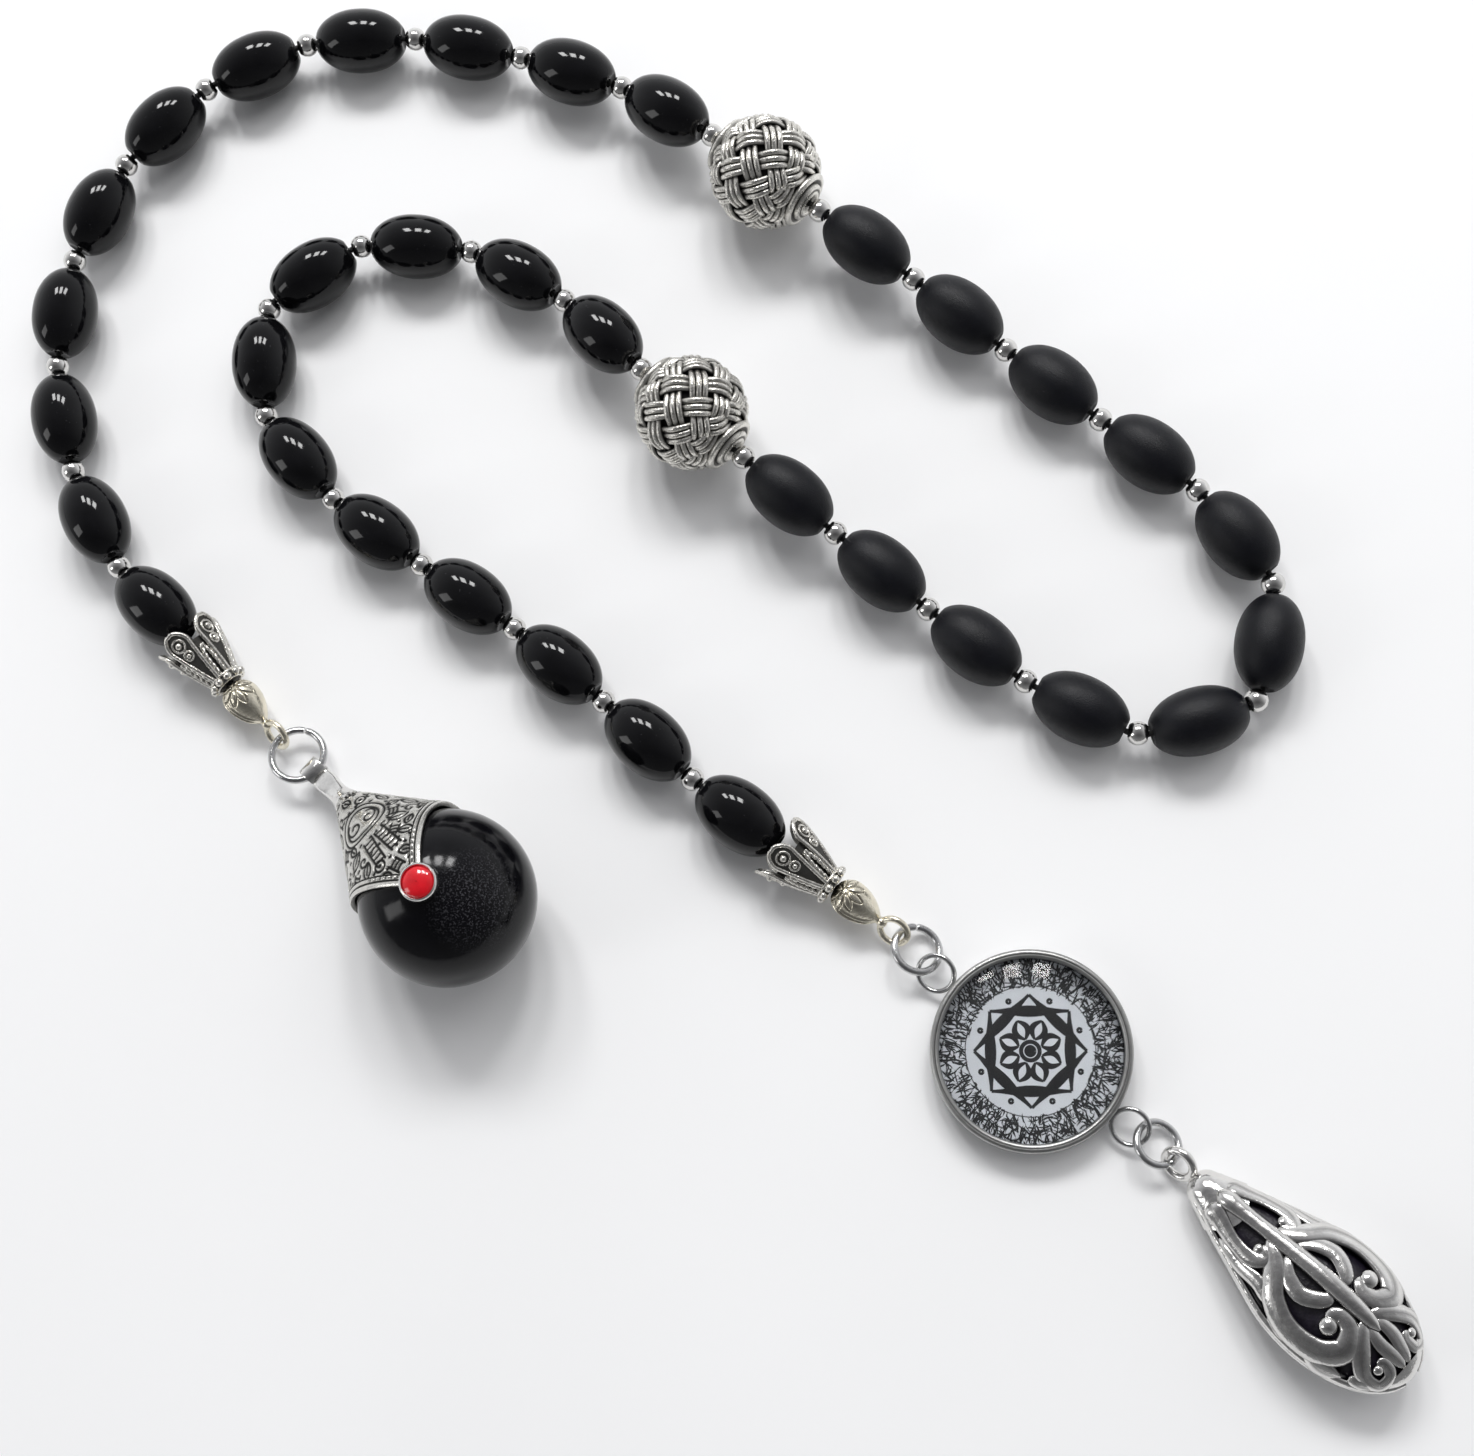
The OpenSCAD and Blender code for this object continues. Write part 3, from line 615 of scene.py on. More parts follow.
def tip_shape(eye_lean):
    """A clam-shell tip: a drop with an eight-leaf star, a double seam and the eye."""
    nose_r = (TIP_NOSE**2 + TIP_R**2) / (2 * TIP_R)
    n = 190
    zs = np.concatenate([-TIP_R * np.cos(np.linspace(0.24, math.pi / 2, 40)), np.linspace(0.06, TIP_NOSE + 0.1, 62)])
    turn = np.linspace(0, 2 * math.pi, n, endpoint=False)
    rows, shades = [], []
    seam = math.radians(242)
    pole = unit(np.array([-0.86, 0.1, -0.5]))
    side = unit(np.cross(pole, (0, 0, 1)))
    for z in zs:
        r = math.sqrt(max(TIP_R**2 - z * z, 0)) if z < 0 else TIP_R - nose_r + math.sqrt(nose_r**2 - z * z)
        r = max(r, 0.52)
        rise_at, shade = np.zeros(n), np.ones(n)
        p = np.stack([r * np.cos(turn), r * np.sin(turn), np.full(n, z)], 1)
        p /= np.linalg.norm(p, axis=1)[:, None]
        away = np.arccos(np.clip(p @ pole, -1, 1))
        around = np.arctan2(p @ side, p @ np.cross(pole, side))
        a = np.abs((around + math.pi / 8) % (math.pi / 4) - math.pi / 8) * np.sin(away) * TIP_R
        s = np.clip((away - 0.14) / 0.98, 0, 1)
        half = 0.44 * np.sin(math.pi * s) ** 0.8
        line = np.exp(-(((a - half) / 0.1) ** 2)) * (s > 0) * (s < 1)
        rise_at += 0.07 * np.clip((half - a) / 0.2, 0, 1) - 0.1 * line
        shade -= 0.75 * line
        for off in (-0.3, 0.3):
            a = ((turn - seam + math.pi) % (2 * math.pi) - math.pi) * r - off
            rise_at += 0.2 * np.exp(-((a / 0.16) ** 2))
        a = ((turn - seam + math.pi) % (2 * math.pi) - math.pi) * r
        gap = np.exp(-((a / 0.13) ** 2))
        rise_at -= 0.1 * gap
        shade -= 0.8 * gap
        fade = min(1.0, max(0.0, (TIP_NOSE - 0.6 - z) / 0.8)) * min(1.0, max(0.0, (r - 0.6) / 0.5))
        rr = r + rise_at * fade
        rows.append(np.stack([rr * np.cos(turn), rr * np.sin(turn), np.full(n, z + TIP_MID)], 1))
        shades.append(np.clip(1 - (1 - shade) * fade, 0, 1))
    out = Shape().add(np.concatenate(rows), capped_faces(len(zs), n), np.concatenate(shades))
    eye = ring_path(EYE_R, eye_lean, 72) + np.array([0, 0, EYE_MID])
    out.join(tube(eye, EYE_WIRE_R, 14, closed=True))
    out.join(ball((0, 0, TIP_MID + TIP_NOSE + 0.12), 0.66, 16))
    return out


def crimp_shape():
    p = [(0.95, -0.75), (1.02, -0.6), (0.96, -0.3), (0.92, 0), (0.96, 0.3), (1.02, 0.6), (0.95, 0.75), (0.42, 0.7),
         (0.42, -0.7)]
    return lathe(p, 24).moved(np.eye(3), (0, 0, TIP_MID))


CROWN = crown_shape()
turned = aim(PETAL_TURN)
SPIN = np.array([[turned[0], -turned[1], 0], [turned[1], turned[0], 0], [0, 0, 1]])
for end, pivot, heading, lean in (("a", PIVOT_A, HEADING_A, 55), ("b", PIVOT_B, HEADING_B, 45)):
    turn = frame_of(heading, END_DROP)
    make(f"crown_{end}", CROWN.moved(turn @ SPIN, pivot), f"end_{end}", ANTIQUE, [f"crown_cap_{end}"],
         50)
    make(f"clam_tip_{end}", tip_shape(lean).moved(turn, pivot), f"end_{end}", CHAMPAGNE, [f"bead_tip_{end}"],
         50)
    make(f"crimp_bead_{end}", crimp_shape().moved(turn, pivot), f"end_{end}", BRASSY, [f"crimp_{end}"])

# ---------------- jump rings


def wire(radius, wire_r, lean, heading, lift, at, gap=0.0, gap_at=0.0, sides=16):
    """A wire ring; a cut ring has its two ends a little apart, with eased edges."""
    p, rad = ring_path(radius, lean, 80, gap, gap_at), np.full(80, wire_r)
    if gap:
        rad[[0, -1]] *= 0.86
    return tube(p, rad, sides, closed=not gap).moved(frame_of(heading, lift), at)


for which, ring_r, lean, heading, lift, mid, cut_at in (
    ("a", RING_A_R, -8, RING_A_AT, RING_A_LIFT, RING_A_MID, 60),
    ("b", RING_B_R, -RING_LEAN, RING_B_AT, 0, RING_B_MID, 40),
    ("c", RING_C_R, -RING_LEAN, TEAR_HEADING, 0, RING_C_MID, 200),
):
    ring = wire(ring_r, WIRE_R, lean, heading, lift, mid, 4, cut_at)
    make(f"ring_{which}_wire", ring, f"ring_{which}", WIRE, [f"jump_ring_{which}"], 50)
for which, heading, mid in (
    ("top", DISC_AT, (FIXED_TOP[0], FIXED_TOP[1], FIXED_Z)), ("bottom", BOTTOM_AT, FIXED_BOTTOM),
):
    ring = wire(FIXED_R, FIXED_WIRE_R, RING_LEAN, heading, 0, mid)
    make(f"disc_loop_{which}", ring, "disc", WIRE, [f"disc_ring_{which}"], 50)

# ---------------- ball drop


def spline(points, n=12):
    """A smooth line through the points; extra columns, such as a width, run along with it."""
    p = np.asarray(points, float)
    p = np.vstack([2 * p[0] - p[1], p, 2 * p[-1] - p[-2]])
    out = []
    for k in range(1, len(p) - 2):
        t = np.linspace(0, 1, n, endpoint=False)[:, None]
        a, b, c, d = p[k - 1], p[k], p[k + 1], p[k + 2]
        out.append(0.5 * (2 * b + (c - a) * t + (2 * a - 5 * b + 4 * c - d) * t**2 + (3 * b - a - 3 * c + d) * t**3))
    return np.vstack([*out, p[-2:-1]])


def circle_line(at, r, n=28):
    t = np.linspace(0, 2 * math.pi, n)
    return np.stack([at[0] + r * np.cos(t), at[1] + r * np.sin(t)], 1)


def pair_of(heading):
    """The flat direction of a heading, and the one across it."""
    along = aim(heading)[:2]
    return along, np.array([-along[1], along[0]])


def curl(at, r, turns, start, hand=1, n=36):
    t = np.linspace(0, 1, n)
    a = math.radians(start) + hand * 2 * math.pi * turns * t
    rad = r * (1 - 0.78 * t)
    return np.stack([at[0] + rad * np.cos(a), at[1] + rad * np.sin(a)], 1)


def leaf_lines(at, length, width, heading):
    t = np.linspace(0, 1, 20)
    w = width / 2 * np.sin(math.pi * t) ** 0.8
    along, side = pair_of(heading)
    base = np.asarray(at) + np.outer(length * t, along)
    return [base + np.outer(w, side), base - np.outer(w, side), base[3:15]]


def comb_lines(at, heading, count, pitch, width):
    along, side = pair_of(heading)
    out = []
    for k in range(count):
        mid = np.asarray(at) + k * pitch * along
        out.append(np.array([mid - width / 2 * side, mid + 0.12 * pitch * along, mid + width / 2 * side]))
    end = np.asarray(at) + (count - 0.5) * pitch * along
    for s in (-1, 1):
        beside = s * (width / 2 + 0.05) * side
        out.append(np.array([at - 0.5 * pitch * along + beside, end + beside]))
    return out


def hood_lines():
    """Grooves of the engraving, laid flat: across the hood, and along it from the roll."""
    lines = []
    t = np.linspace(0, 2 * math.pi, 60)
    mid = np.array([-0.1, 14.3])
    loop = np.stack([3.3 * np.cos(t), 2.9 * np.sin(t) + 0.35 * np.cos(2 * t)], 1)
    lines += [mid + loop, mid + 0.76 * loop]
    lines += [curl((1.05, 14.3), 1.2, 1.15, -80, 1), curl((-1.2, 14.1), 1.25, 1.15, 250, -1)]
    lines.append(spline([(-1.5, 10.5), (-0.1, 11.2), (1.2, 10.5)]))
    kept = [(mid, 3.4)]
    for s in (-1, 1):
        lines += comb_lines((s * 0.95, 18.6), 90 - s * 4, 6, 0.85, 1.3)
        kept.append((np.array([s * 0.95, 19.4]), 1.2))
        kept.append((np.array([s * 0.8, 21.8]), 1.3))
        for at, length, width, heading in (
            ((s * 2.6, 18.0), 2.6, 1.4, 90 - s * 60), ((s * 2.5, 21.2), 2.2, 1.2, 90 - s * 45),
            ((s * 3.7, 10.8), 2.6, 1.2, 90 - s * 15), ((s * 5.6, 15.0), 2.8, 1.3, 90 - s * 30),
        ):
            lines += leaf_lines(at, length, width, heading)
            kept.append((np.asarray(at) + length / 2 * pair_of(heading)[0], length / 2))
    free = np.random.default_rng(11)
    spots = []
    for _ in range(7000):
        at = np.array([free.uniform(-15, 15), free.uniform(7, 28.6)])
        if all(np.hypot(*(at - c)) > r + 0.5 for c, r in kept) and all(np.hypot(*(at - c)) > 1.8 for c in spots):
            spots.append(at)
    tiny = []
    for _ in range(9000):
        at = np.array([free.uniform(-15, 15), free.uniform(7, 28.6)])
        if all(np.hypot(*(at - c)) > r + 0.12 for c, r in kept) and all(
            np.hypot(*(at - c)) > 1.15 for c in spots
        ) and all(np.hypot(*(at - c)) > 0.95 for c in tiny):
            tiny.append(at)
    for k, at in enumerate(tiny):
        lines.append(curl(at, 0.2, 0.5, 90 * k, 1, 8))
    for k, at in enumerate(spots):
        kind = k % 5
        a = free.uniform(0, 360)
        if kind == 0:
            lines += [circle_line(at, 0.72), circle_line(at, 0.12, 8)]
        elif kind == 1:
            lines.append(curl(at, 0.85, 1.0, a, 1))
        elif kind == 2:
            lines.append(curl(at, 0.85, 0.9, a, -1))
        elif kind == 3:
            lines += leaf_lines(at - 0.85 * pair_of(a)[0], 1.7, 1.1, a)
        else:
            lines += comb_lines(at - 0.4 * pair_of(a)[0], a, 3, 0.52, 1.2)
    return lines


POINT_AT, POINT_ANGLE = 29.6, math.radians(38.2)
SHELL = BALL_R + CAP_GAP + CAP_WALL
STUD_TURN = math.radians(284)
STUD_DIR = np.array([math.sin(STUD_TURN), 0, math.cos(STUD_TURN)])
NECK_AT, CONE_TO, HOOD_NECK_R, CONE_R = 6.5, 21.1, 1.6, 9.53
RIM_W = 1.35


def hood_r(z):
    if z < CONE_TO:
        return HOOD_NECK_R + (z - NECK_AT) * (CONE_R - HOOD_NECK_R) / (CONE_TO - NECK_AT)
    return math.sqrt(SHELL**2 - (z - DROP_LEN) ** 2)


def hood_half(side, tree):
    """side -1 is the upper half. The grooves sink and darken; the rim stands up."""
    rows, cols = 190, 181
    zs = np.concatenate([np.linspace(NECK_AT, 17.5, 84), np.linspace(17.6, POINT_AT - 0.35, rows - 84)])
    us = np.linspace(-1, 1, cols)
    outer, inner, shades = [], [], []
    for z in zs:
        r = hood_r(z)
        reach_y = (POINT_AT - z) * math.tan(POINT_ANGLE)
        most = math.pi / 2 if reach_y >= r else math.asin(reach_y / r)
        psi = us * most
        y = r * np.sin(psi)
        edge = (reach_y - np.abs(y)) * math.cos(POINT_ANGLE)
        here = np.stack([side * r * np.cos(psi), y, np.full(cols, z)], 1)
        stud_far = np.linalg.norm(here - (np.array([0, 0, DROP_LEN]) + STUD_DIR * 10.9), axis=1)
        groove = np.array([tree.find((r * turn, z, 0))[2] for turn in psi])
        cut = np.clip(1 - (groove - 0.13) / 0.09, 0, 1)
        near_rim = edge < RIM_W
        cut[near_rim] = 0
        rim = np.clip(1 - np.abs(edge - 0.3) / 0.34, 0, 1) ** 0.5
        bead_on = np.clip((7.5 - stud_far) / 1.0, 0, 1)
        pearls = 0.5 + 0.5 * np.cos(2 * math.pi * stud_far / 0.78)
        second = np.clip(1 - np.abs(edge - 0.98) / 0.26, 0, 1) ** 0.5 * (1 - bead_on * (1 - pearls))
        lines = np.clip(1.5 - np.abs(edge - 0.66) / 0.1, 0, 1) + np.clip(1.5 - np.abs(edge - 1.3) / 0.12, 0, 1)
        lines += bead_on * np.clip(1 - np.abs(edge - 0.98) / 0.3, 0, 1) * (pearls < 0.3)
        height = np.where(near_rim, 0.14 * rim + 0.12 * second - 0.1 * np.clip(lines, 0, 1), -0.14 * cut)
        pillow = np.where(near_rim, 0, np.clip((groove - 0.2) / 0.4, 0, 1) * 0.07)
        shade = 1 - 0.97 * np.clip(np.where(near_rim, lines, cut), 0, 1)
        total = r + height + pillow
        back = r - 0.5
        outer.append(np.stack([side * total * np.cos(psi), total * np.sin(psi), np.full(cols, z)], 1))
        inner.append(np.stack([side * back * np.cos(psi), back * np.sin(psi), np.full(cols, z)], 1))
        shades.append(np.r_[shade, np.full(cols, 0.5)])
    ring = np.concatenate([np.array(outer), np.array(inner)[:, ::-1]], axis=1)
    return Shape().add(ring.reshape(-1, 3), capped_faces(rows, 2 * cols, side < 0), np.concatenate(shades))


def strap_shape():
    """The bail's roll and its tongue, which swells into the top of the hood."""
    half = [(1.5, 1.15), (1.42, 1.3), (1.1, 1.3), (1.0, 1.2)]
    roll = [(1.5, -1.15), *half, (1.0, -1.2), (1.1, -1.3), (1.42, -1.3)]
    out = lathe(roll, 40).moved(turn_to((0, 1, 0)), (0, 0, 0))
    sections = spline([(1.1, 0.62, 1.3), (2.4, 0.85, 1.36), (4.0, 1.0, 1.24), (5.4, 1.28, 1.34), (6.5, 1.66, 1.7),
                       (7.1, 1.8, 1.82)], 8)
    t = np.linspace(0, 2 * math.pi, 40, endpoint=False)
    c, s = np.cos(t), np.sin(t)
    grid = []
    for z, hx, hy in sections:
        k = 0.5 + 0.5 * min(max((z - 3) / 3.5, 0), 1)
        grid.append(np.stack([hx * np.sign(c) * np.abs(c) ** k, hy * np.sign(s) * np.abs(s) ** k, np.full(40, z)], 1))
    return out.join(Shape().add(np.concatenate(grid), capped_faces(len(grid), 40)))


fine_lines = []
for line in hood_lines():
    for a, b in zip(line[:-1], line[1:], strict=True):
        steps = max(int(np.hypot(*(b - a)) / 0.07), 1)
        fine_lines.append(a + np.outer(np.arange(steps) / steps, b - a))
fine_lines = np.concatenate(fine_lines)
tree = KDTree(len(fine_lines))
for k, (a, z) in enumerate(fine_lines):
    tree.insert((a, z, 0), k)
tree.balance()
AT_DROP = frame_of(DROP_HEADING, DROP_LIFT)
make("hood_engraved", hood_half(-1, tree).join(hood_half(1, tree)).moved(AT_DROP, ROLL_AT), "drop", HOOD,
     ["drop_cap"], 55)
make("hood_strap", strap_shape().moved(AT_DROP, ROLL_AT), "drop", SILVER, ["drop_cap"], 50)
at_stud = turn_to(STUD_DIR)
centre = np.array([0, 0, DROP_LEN])
bezel = lathe([(2.2, 9.85), (2.24, 10.6), (2.18, 11.3), (2.09, 11.5), (1.96, 11.56), (1.85, 11.48), (1.8, 11.25),
               (1.8, 10.72), (0.03, 10.72), (0.03, 10.4), (1.9, 9.95)], 56).moved(at_stud, centre)
make("stud_bezel", bezel.moved(AT_DROP, ROLL_AT), "drop", SILVER, ["drop_cap"], 50)
dome = [(0.03, 10.74), (1.79, 10.74), (1.79, 11.22)] + [
    (1.79 * math.sin(a), 11.22 + 0.58 * math.cos(a)) for a in np.linspace(math.pi / 2 - 0.12, 0.03, 10)
]
stone = lathe(dome, 48).moved(at_stud, centre)
make("stud_enamel", stone.moved(AT_DROP, ROLL_AT), "drop", RED, ["drop_stud"], 50)
sphere = ball((0, 0, DROP_LEN), BALL_R, 120).moved(AT_DROP, ROLL_AT)
patch = unit(np.array([0.55, -0.12, 0.83]))
facing = (sphere.v[0] - (ROLL_AT + AT_DROP @ centre)) / BALL_R @ patch
sphere.s = [np.clip((facing - 0.8) / 0.18, 0, 1)]
make("black_ball", sphere, "drop", BALL, ["drop_ball"], 60)

# ---------------- disc

tray = [(0.03, 0), (11.1, 0), (11.42, 0.12), (11.5, 0.4), (11.5, 3.25), (11.38, 3.55), (11.1, 3.68), (10.93, 3.62),
        (10.86, 3.72), (10.76, 3.8), (10.6, 3.76), (10.48, 3.6), (10.45, 3.25), (10.9, 3.2), (10.9, 0.8), (0.03, 0.8)]
# painted shade: the steel is darker in the groove on the rim, down the inner wall, over the tray's floor and a little
# at the outer foot
tray_painted_shade = [1, 1, 1, 0.9, 1, 1, 1, 0.35, 1, 1, 1, 0.7, 0.3, 0.3, 0.3, 0.3]
make("tray", lathe(tray, 128, shade=tray_painted_shade).moved(np.eye(3), DISC_MID), "disc", SATIN, ["disc_tray"],
     45)
FACE_R, FACE_Z = 10.75, 1.1
paper = lathe([(0.03, 0.82), (FACE_R, 0.82), (FACE_R, FACE_Z), (0.03, FACE_Z)], 96)
ink = Shape()


def stroke(points, width, sides=4):
    p = np.asarray(points, float)
    path = np.column_stack([p[:, 0], p[:, 1], np.full(len(p), FACE_Z)])
    ink.join(tube(path, width, sides, flat=0.02 / max(np.max(width), 0.02), up=(0, 0, 1)))


STAR_R, STROKES, BAND_IN, BAND_OUT = 6.4, 1150, 7.3, 10.55
for square in (0, 45):
    corners = [STAR_R * pair_of(square + 90 * k)[0] for k in range(4)]
    for k in range(4):
        a, b = corners[k], corners[(k + 1) % 4]
        t = np.linspace(0, 1, 24)[:, None]
        stroke(a + (b - a) * t, 0.42 - 0.24 * np.cos(2 * math.pi * t[:, 0]))
for k in range(8):
    d, s = pair_of(45 * k + 22.5)
    for hand in (-1, 1):
        t = np.linspace(0, 1, 24)
        w = 0.75 * np.sin(math.pi * t)
        stroke(np.outer(1.4 + 2.3 * t, d) + hand * np.outer(w, s), 0.12 + 0.22 * np.sin(math.pi * t))
    stroke(circle_line(6.1 * d, 0.22, 12), 0.16)
for r, w in ((1.05, 0.24), (0.35, 0.35)):
    stroke(circle_line((0, 0), r, 60), w)
for r, w in ((7.42, 0.06), (10.6, 0.1)):
    stroke(circle_line((0, 0), r, 120), w)
for _ in range(STROKES):
    a = rng.uniform(0, 2 * math.pi)
    r = math.sqrt(rng.uniform(BAND_IN**2, BAND_OUT**2))
    kind = rng.integers(0, 4)
    if kind < 2:
        tilt = a + rng.normal(0, 0.35)
    else:
        tilt = a + (math.pi / 2 + rng.normal(0, 0.4) if kind == 2 else rng.uniform(0, 3.1))
    half = rng.uniform(0.35, 1.05)
    mid = r * np.array([math.cos(a), math.sin(a)])
    d = np.array([math.cos(tilt), math.sin(tilt)])
    bend = rng.normal(0, 0.18) * np.array([-d[1], d[0]])
    inner = 0.4 * half * d
    line = np.array([mid - half * d, mid - inner + 0.8 * bend, mid + inner + 0.8 * bend, mid + half * d])
    far_out = np.hypot(line[:, 0], line[:, 1])
    line = line * (np.clip(far_out, 7.0 + rng.uniform(0, 0.5), BAND_OUT) / far_out)[:, None]
    stroke(line, np.array([0.03, 1, 1, 0.03]) * rng.uniform(0.055, 0.12))
ink.m = [1] * len(ink.f)
make("print", paper.join(ink).moved(np.eye(3), DISC_MID), "disc", [PAPER, INK], ["disc_print"], 40)
dome_ball = (FACE_R**2 + DOME_H**2) / (2 * DOME_H)
top_z = FACE_Z + 1.9 + DOME_H
glass = [(0.03, FACE_Z + 0.04), (10.7, FACE_Z + 0.04), (10.72, FACE_Z + 1.6)] + [
    (dome_ball * math.sin(a), top_z - dome_ball + dome_ball * math.cos(a))
    for a in np.linspace(math.asin(10.5 / dome_ball), 0.001, 18)
]
make("glass_dome", lathe(glass, 96).moved(np.eye(3), DISC_MID), "disc", GLASS, ["disc_glass"], 50)

# ---------------- teardrop

TEAR_LEN, BELLY_HALF, NECK_R = 30.5, 11.5, 2.1
TEAR_AT = BAIL_R + BAIL_WIRE_R - 0.35
BELLY_Z, TEAR_END = TEAR_AT + TEAR_LEN - BELLY_HALF, TEAR_AT + TEAR_LEN


def outline_of(half):
    """Half width against z of the hull of the round neck and the long oval belly."""
    t = np.linspace(0, math.pi, 400)
    pts = np.concatenate([
        np.stack([TEAR_AT + NECK_R - NECK_R * np.cos(t), NECK_R * np.sin(t)], 1),
        np.stack([BELLY_Z - BELLY_HALF * np.cos(t), half * np.sin(t)], 1),
    ])
    pts = pts[np.lexsort((pts[:, 1], pts[:, 0]))]
    hull = []
    for p in pts:
        while len(hull) > 1 and np.cross(hull[-1] - hull[-2], p - hull[-2]) >= 0:
            hull.pop()
        hull.append(p)
    return np.array(hull)


WIDE, THICK = outline_of(7.0), outline_of(4.0)
TEAR_ROLL, RIM_SHARE = math.radians(12), 0.95


def half_sizes(z):
    """The teardrop's half width and half thickness at this height."""
    return np.interp(z, WIDE[:, 0], WIDE[:, 1]), np.interp(z, THICK[:, 0], THICK[:, 1])


def half_way(z):
    """Half the way round the teardrop at this height."""
    hy, hx = half_sizes(z)
    return math.pi * (hx + hy) / 2


def tear_point(across, z, inset=0.0):
    """A point on the teardrop's skin: across is measured round it from the front's middle."""
    z = min(max(z, TEAR_AT + 0.05), TEAR_END - 0.05)
    hy, hx = half_sizes(z)
    psi = across / max((hx + hy) / 2, 0.3) + TEAR_ROLL
    p = np.array([-hx * math.cos(psi), hy * math.sin(psi), z])
    dz = 0.1
    slope_y = (half_sizes(z + dz)[0] - half_sizes(z - dz)[0]) / (2 * dz)
    n = np.array([-math.cos(psi) / max(hx, 0.2), math.sin(psi) / max(hy, 0.2), 0])
    n = unit(unit(n) + np.array([0, 0, -min(max(slope_y, -2.5), 2.5)]) * 0.8)
    return p - inset * n, n


def ribbon(points, turned, flip, flat=0.4, inset=0.2, wider=1.85):
    """points: (across, z, half width). turned puts the ribbon on the back half, a little deeper."""
    out = Shape()
    s = spline(points, 9)
    path, ups = [], []
    for across, z, _ in s:
        around = half_way(z) if turned else 0
        p, n = tear_point(flip * across + around, z, inset + 0.5 * turned)
        path.append(p)
        ups.append(n)
    width = np.maximum(wider * s[:, 2], 0.08)
    width[:4] *= (0.3, 0.6, 0.8, 0.93)
    width[-4:] *= (0.93, 0.8, 0.6, 0.3)
    band = tube(np.array(path), width, 16, flat=flat, up=np.array(ups))
    a = np.linspace(0, 2 * math.pi, 16, endpoint=False)
    # painted shading: each ribbon is bright along its top and darker down its sides and underside, standing in for
    # highlights and dark reflections; the dip at the middle of its top draws an engraved line
    wear_and_painted_shading = np.clip(0.3 + 0.9 * np.sin(a), 0.05, 1) - 0.5 * (np.abs(a - math.pi / 2) < 0.1)
    band.s = [np.tile(wear_and_painted_shading, len(path))]
    return out.join(band)


def knob(across, z, r, turned, flip):
    p, n = tear_point(flip * across + (half_way(z) if turned else 0), z, 0.2 + 0.4 * turned)
    return ball(p, r, 18, squash=0.7, axis=n)


def tear_half(turned):
    out = Shape()
    out.join(ribbon([(0, 5.0, 0.9), (0, 9, 0.6), (0, 14, 0.62), (0, 19, 0.7), (0, 24, 0.6), (0, 26.5, 0.3)],
                    turned, 1, 0.75, 0.0, 1.5))
    for flip in (-1, 1):
        for pts in (
            [(1.6, 5.2, 0.8), (2.2, 7.2, 0.6), (2.9, 9.5, 0.5), (3.0, 12.0, 0.5), (2.0, 13.2, 0.45),
             (1.3, 12.0, 0.35)],
            [(0.3, 12.0, 0.35), (1.9, 14.2, 0.62), (4.4, 16.4, 0.72), (6.0, 19.6, 0.8), (5.6, 23.2, 0.85),
             (3.6, 25.2, 0.8), (1.9, 24.4, 0.6), (1.5, 22.7, 0.5), (2.4, 21.5, 0.4)],
            [(0.6, 14.6, 0.3), (1.9, 16.0, 0.5), (2.5, 18.2, 0.55), (1.6, 20.2, 0.5), (0.5, 20.8, 0.3)],
            [(0.3, 24.6, 0.35), (2.2, 26.4, 0.55), (3.9, 28.6, 0.5), (3.6, 30.4, 0.5), (1.9, 30.6, 0.4),
             (1.5, 29.3, 0.35), (2.1, 28.6, 0.3)],
            [(0.5, 25.5, 0.3), (0.75, 27.6, 0.42), (0.5, 29.6, 0.4), (0.3, 31.2, 0.2)],
            [(4.2, 8.4, 0.5), (4.7, 11.5, 0.45), (4.4, 14.2, 0.5), (5.6, 16.4, 0.3)],
            [(6.4, 22.2, 0.25), (7.0, 24.6, 0.75), (6.2, 27.0, 0.4)],
            [(5.0, 27.6, 0.3), (5.1, 28.8, 0.55), (3.8, 30.6, 0.35)],
            [(7.3, 17.4, 0.2), (7.4, 19.4, 0.5), (7.5, 21.2, 0.3)],
        ):
            out.join(ribbon(pts, turned, flip))
        for across, z, r in ((1.75, 12.0, 0.62), (2.9, 22.4, 1.05), (2.4, 29.2, 0.6), (4.9, 12.4, 0.45)):
            out.join(knob(across, z, r, turned, flip))
        path, ups = [], []
        for z in np.linspace(4.0, TEAR_END - 0.12, 60):
            a = half_way(z) / 2 * RIM_SHARE
            p, n = tear_point(flip * a + (2 * a / RIM_SHARE if turned else 0), z, 0.18)
            path.append(p)
            ups.append(n)
        out.join(tube(np.array(path), 0.55, 12, flat=0.75, up=np.array(ups)))
    return out


def tear_skin(z0, z1, inset, rows=50, wave=0.0):
    """A closed skin round the teardrop between two heights."""
    n = 48
    grid = []
    for z in np.linspace(z0, z1, rows):
        hy, hx = (max(half - inset, 0.05) for half in half_sizes(z))
        t = np.linspace(0, 2 * math.pi, n, endpoint=False)
        zz = z + wave * (z - z0) / (z1 - z0) * np.cos(2 * t)
        grid.append(np.stack([-hx * np.cos(t), hy * np.sin(t), zz], 1))
    return Shape().add(np.concatenate(grid), capped_faces(rows, n, flip=True))


AT_TEAR = frame_of(TEAR_HEADING, TEAR_LIFT)
cap = tear_skin(TEAR_AT + 0.06, 7.8, 0.0, rows=30, wave=1.1)
cap.join(tear_skin(TEAR_END - 1.5, TEAR_END - 0.04, 0.0, rows=24))
make("filigree_front", tear_half(False).join(cap).moved(AT_TEAR, BAIL_MID), "teardrop", SILVER, ["teardrop_front"],
     60)
make("filigree_back", tear_half(True).moved(AT_TEAR, BAIL_MID), "teardrop", SILVER, ["teardrop_back"],
     60)
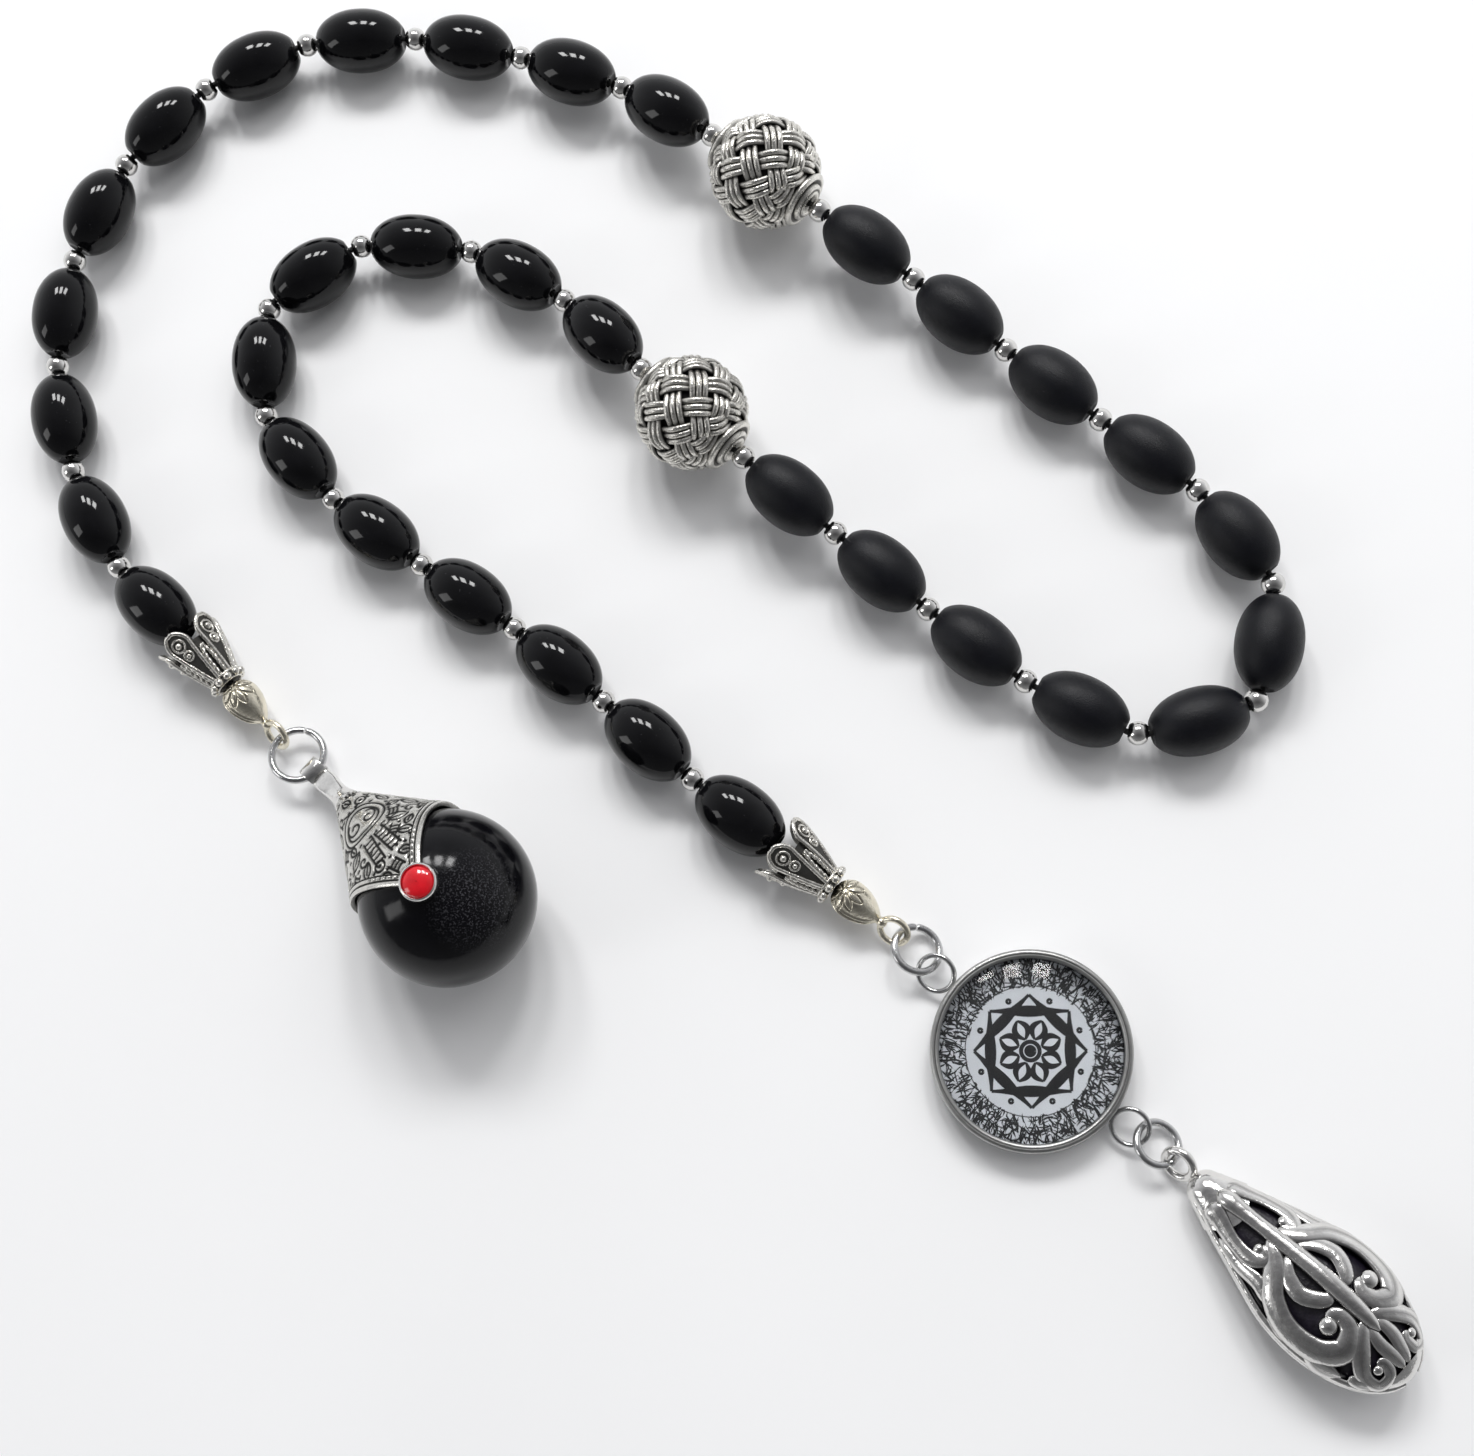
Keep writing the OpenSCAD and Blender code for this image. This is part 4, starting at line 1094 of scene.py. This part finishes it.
# a dark skin inside the filigree: painted shade for its hollow, seen through the openwork
make("filigree_shade_core", tear_skin(TEAR_AT + 0.9, TEAR_END - 1.0, 0.95).moved(AT_TEAR, BAIL_MID), "teardrop", HOLLOW_SHADE,
     (), 60)
make("tear_bail", wire(BAIL_R, BAIL_WIRE_R, BAIL_LEAN, TEAR_HEADING, TEAR_LIFT, BAIL_MID), "teardrop", SILVER,
     ["teardrop_bail"], 50)

# ---------------- floor, light and camera

floor_mat = material("pale_floor", (0.89, 0.89, 0.893), 0.6, var=0.015, var_scale=12, bump=(300, 0.02))
floor = bpy.data.meshes.new("floor")
FLOOR_Z = -0.0003
floor.from_pydata([(x, y, FLOOR_Z) for x, y in ((-3, -3), (3, -3), (3, 3), (-3, 3))], [], [(0, 1, 2, 3)])
floor.materials.append(floor_mat)
floor_o = bpy.data.objects.new("floor", floor)
bpy.context.scene.collection.objects.link(floor_o)

world = bpy.data.worlds.new("studio")
bpy.context.scene.world = world
world.use_nodes = True
nodes, links = world.node_tree.nodes, world.node_tree.links
background = nodes["Background"]
sky = nodes.new("ShaderNodeTexCoord")
split = nodes.new("ShaderNodeSeparateXYZ")
fade = nodes.new("ShaderNodeValToRGB")
fade.color_ramp.elements[0].position, fade.color_ramp.elements[0].color = 0.1, (0.80, 0.81, 0.83, 1)
fade.color_ramp.elements[1].position, fade.color_ramp.elements[1].color = 0.95, (0.22, 0.22, 0.23, 1)
links.new(sky.outputs["Generated"], split.inputs[0])
links.new(split.outputs["Z"], fade.inputs["Fac"])
south = nodes.new("ShaderNodeMapRange")
south.inputs["From Min"].default_value, south.inputs["From Max"].default_value = -0.5, 0.35
south.inputs["To Min"].default_value, south.inputs["To Max"].default_value = 0.3, 1.15
links.new(split.outputs["Y"], south.inputs["Value"])
links.new(south.outputs["Result"], background.inputs["Strength"])
links.new(fade.outputs["Color"], background.inputs["Color"])
bpy.context.scene.view_settings.view_transform = "Standard"


def area(name, at, look, size, power, color=(1, 1, 1)):
    light = bpy.data.lights.new(name, "AREA")
    light.shape, light.size, light.size_y = "RECTANGLE", size[0], size[1]
    light.energy, light.color = power, color
    o = bpy.data.objects.new(name, light)
    o.location = at
    o.rotation_euler = (Vector(look) - Vector(at)).to_track_quat("-Z", "Y").to_euler()
    bpy.context.scene.collection.objects.link(o)


area("soft_top", (0.25, 0.55, 1.0), (0, 0, 0), (1.2, 0.9), 5.2)
bpy.data.objects["soft_top"].visible_glossy = False
for k in range(3):
    area(f"window_{k}", (-0.36 + 0.3 * k, 0.8, 0.95), (0, 0, 0), (0.17, 0.26), 3.2)
area("side_fill", (-0.9, -0.3, 0.5), (0, 0, 0), (0.25, 0.5), 1.2)

cam_data = bpy.data.cameras.new("camera")
cam_data.lens, cam_data.sensor_width, cam_data.sensor_fit = 47.5, 36, "HORIZONTAL"
cam = bpy.data.objects.new("camera", cam_data)
eye_at, look_at = Vector((29.33, -54.86, 229.52)) * MM, Vector((7.79, -10.03, 0)) * MM
forward = (look_at - eye_at).normalized()
right = forward.cross(Vector((0, 1, 0))).normalized()
up = right.cross(forward)
cam.matrix_world = Matrix.Translation(eye_at) @ Matrix((right, up, -forward)).transposed().to_4x4()
bpy.context.scene.collection.objects.link(cam)
bpy.context.scene.camera = cam
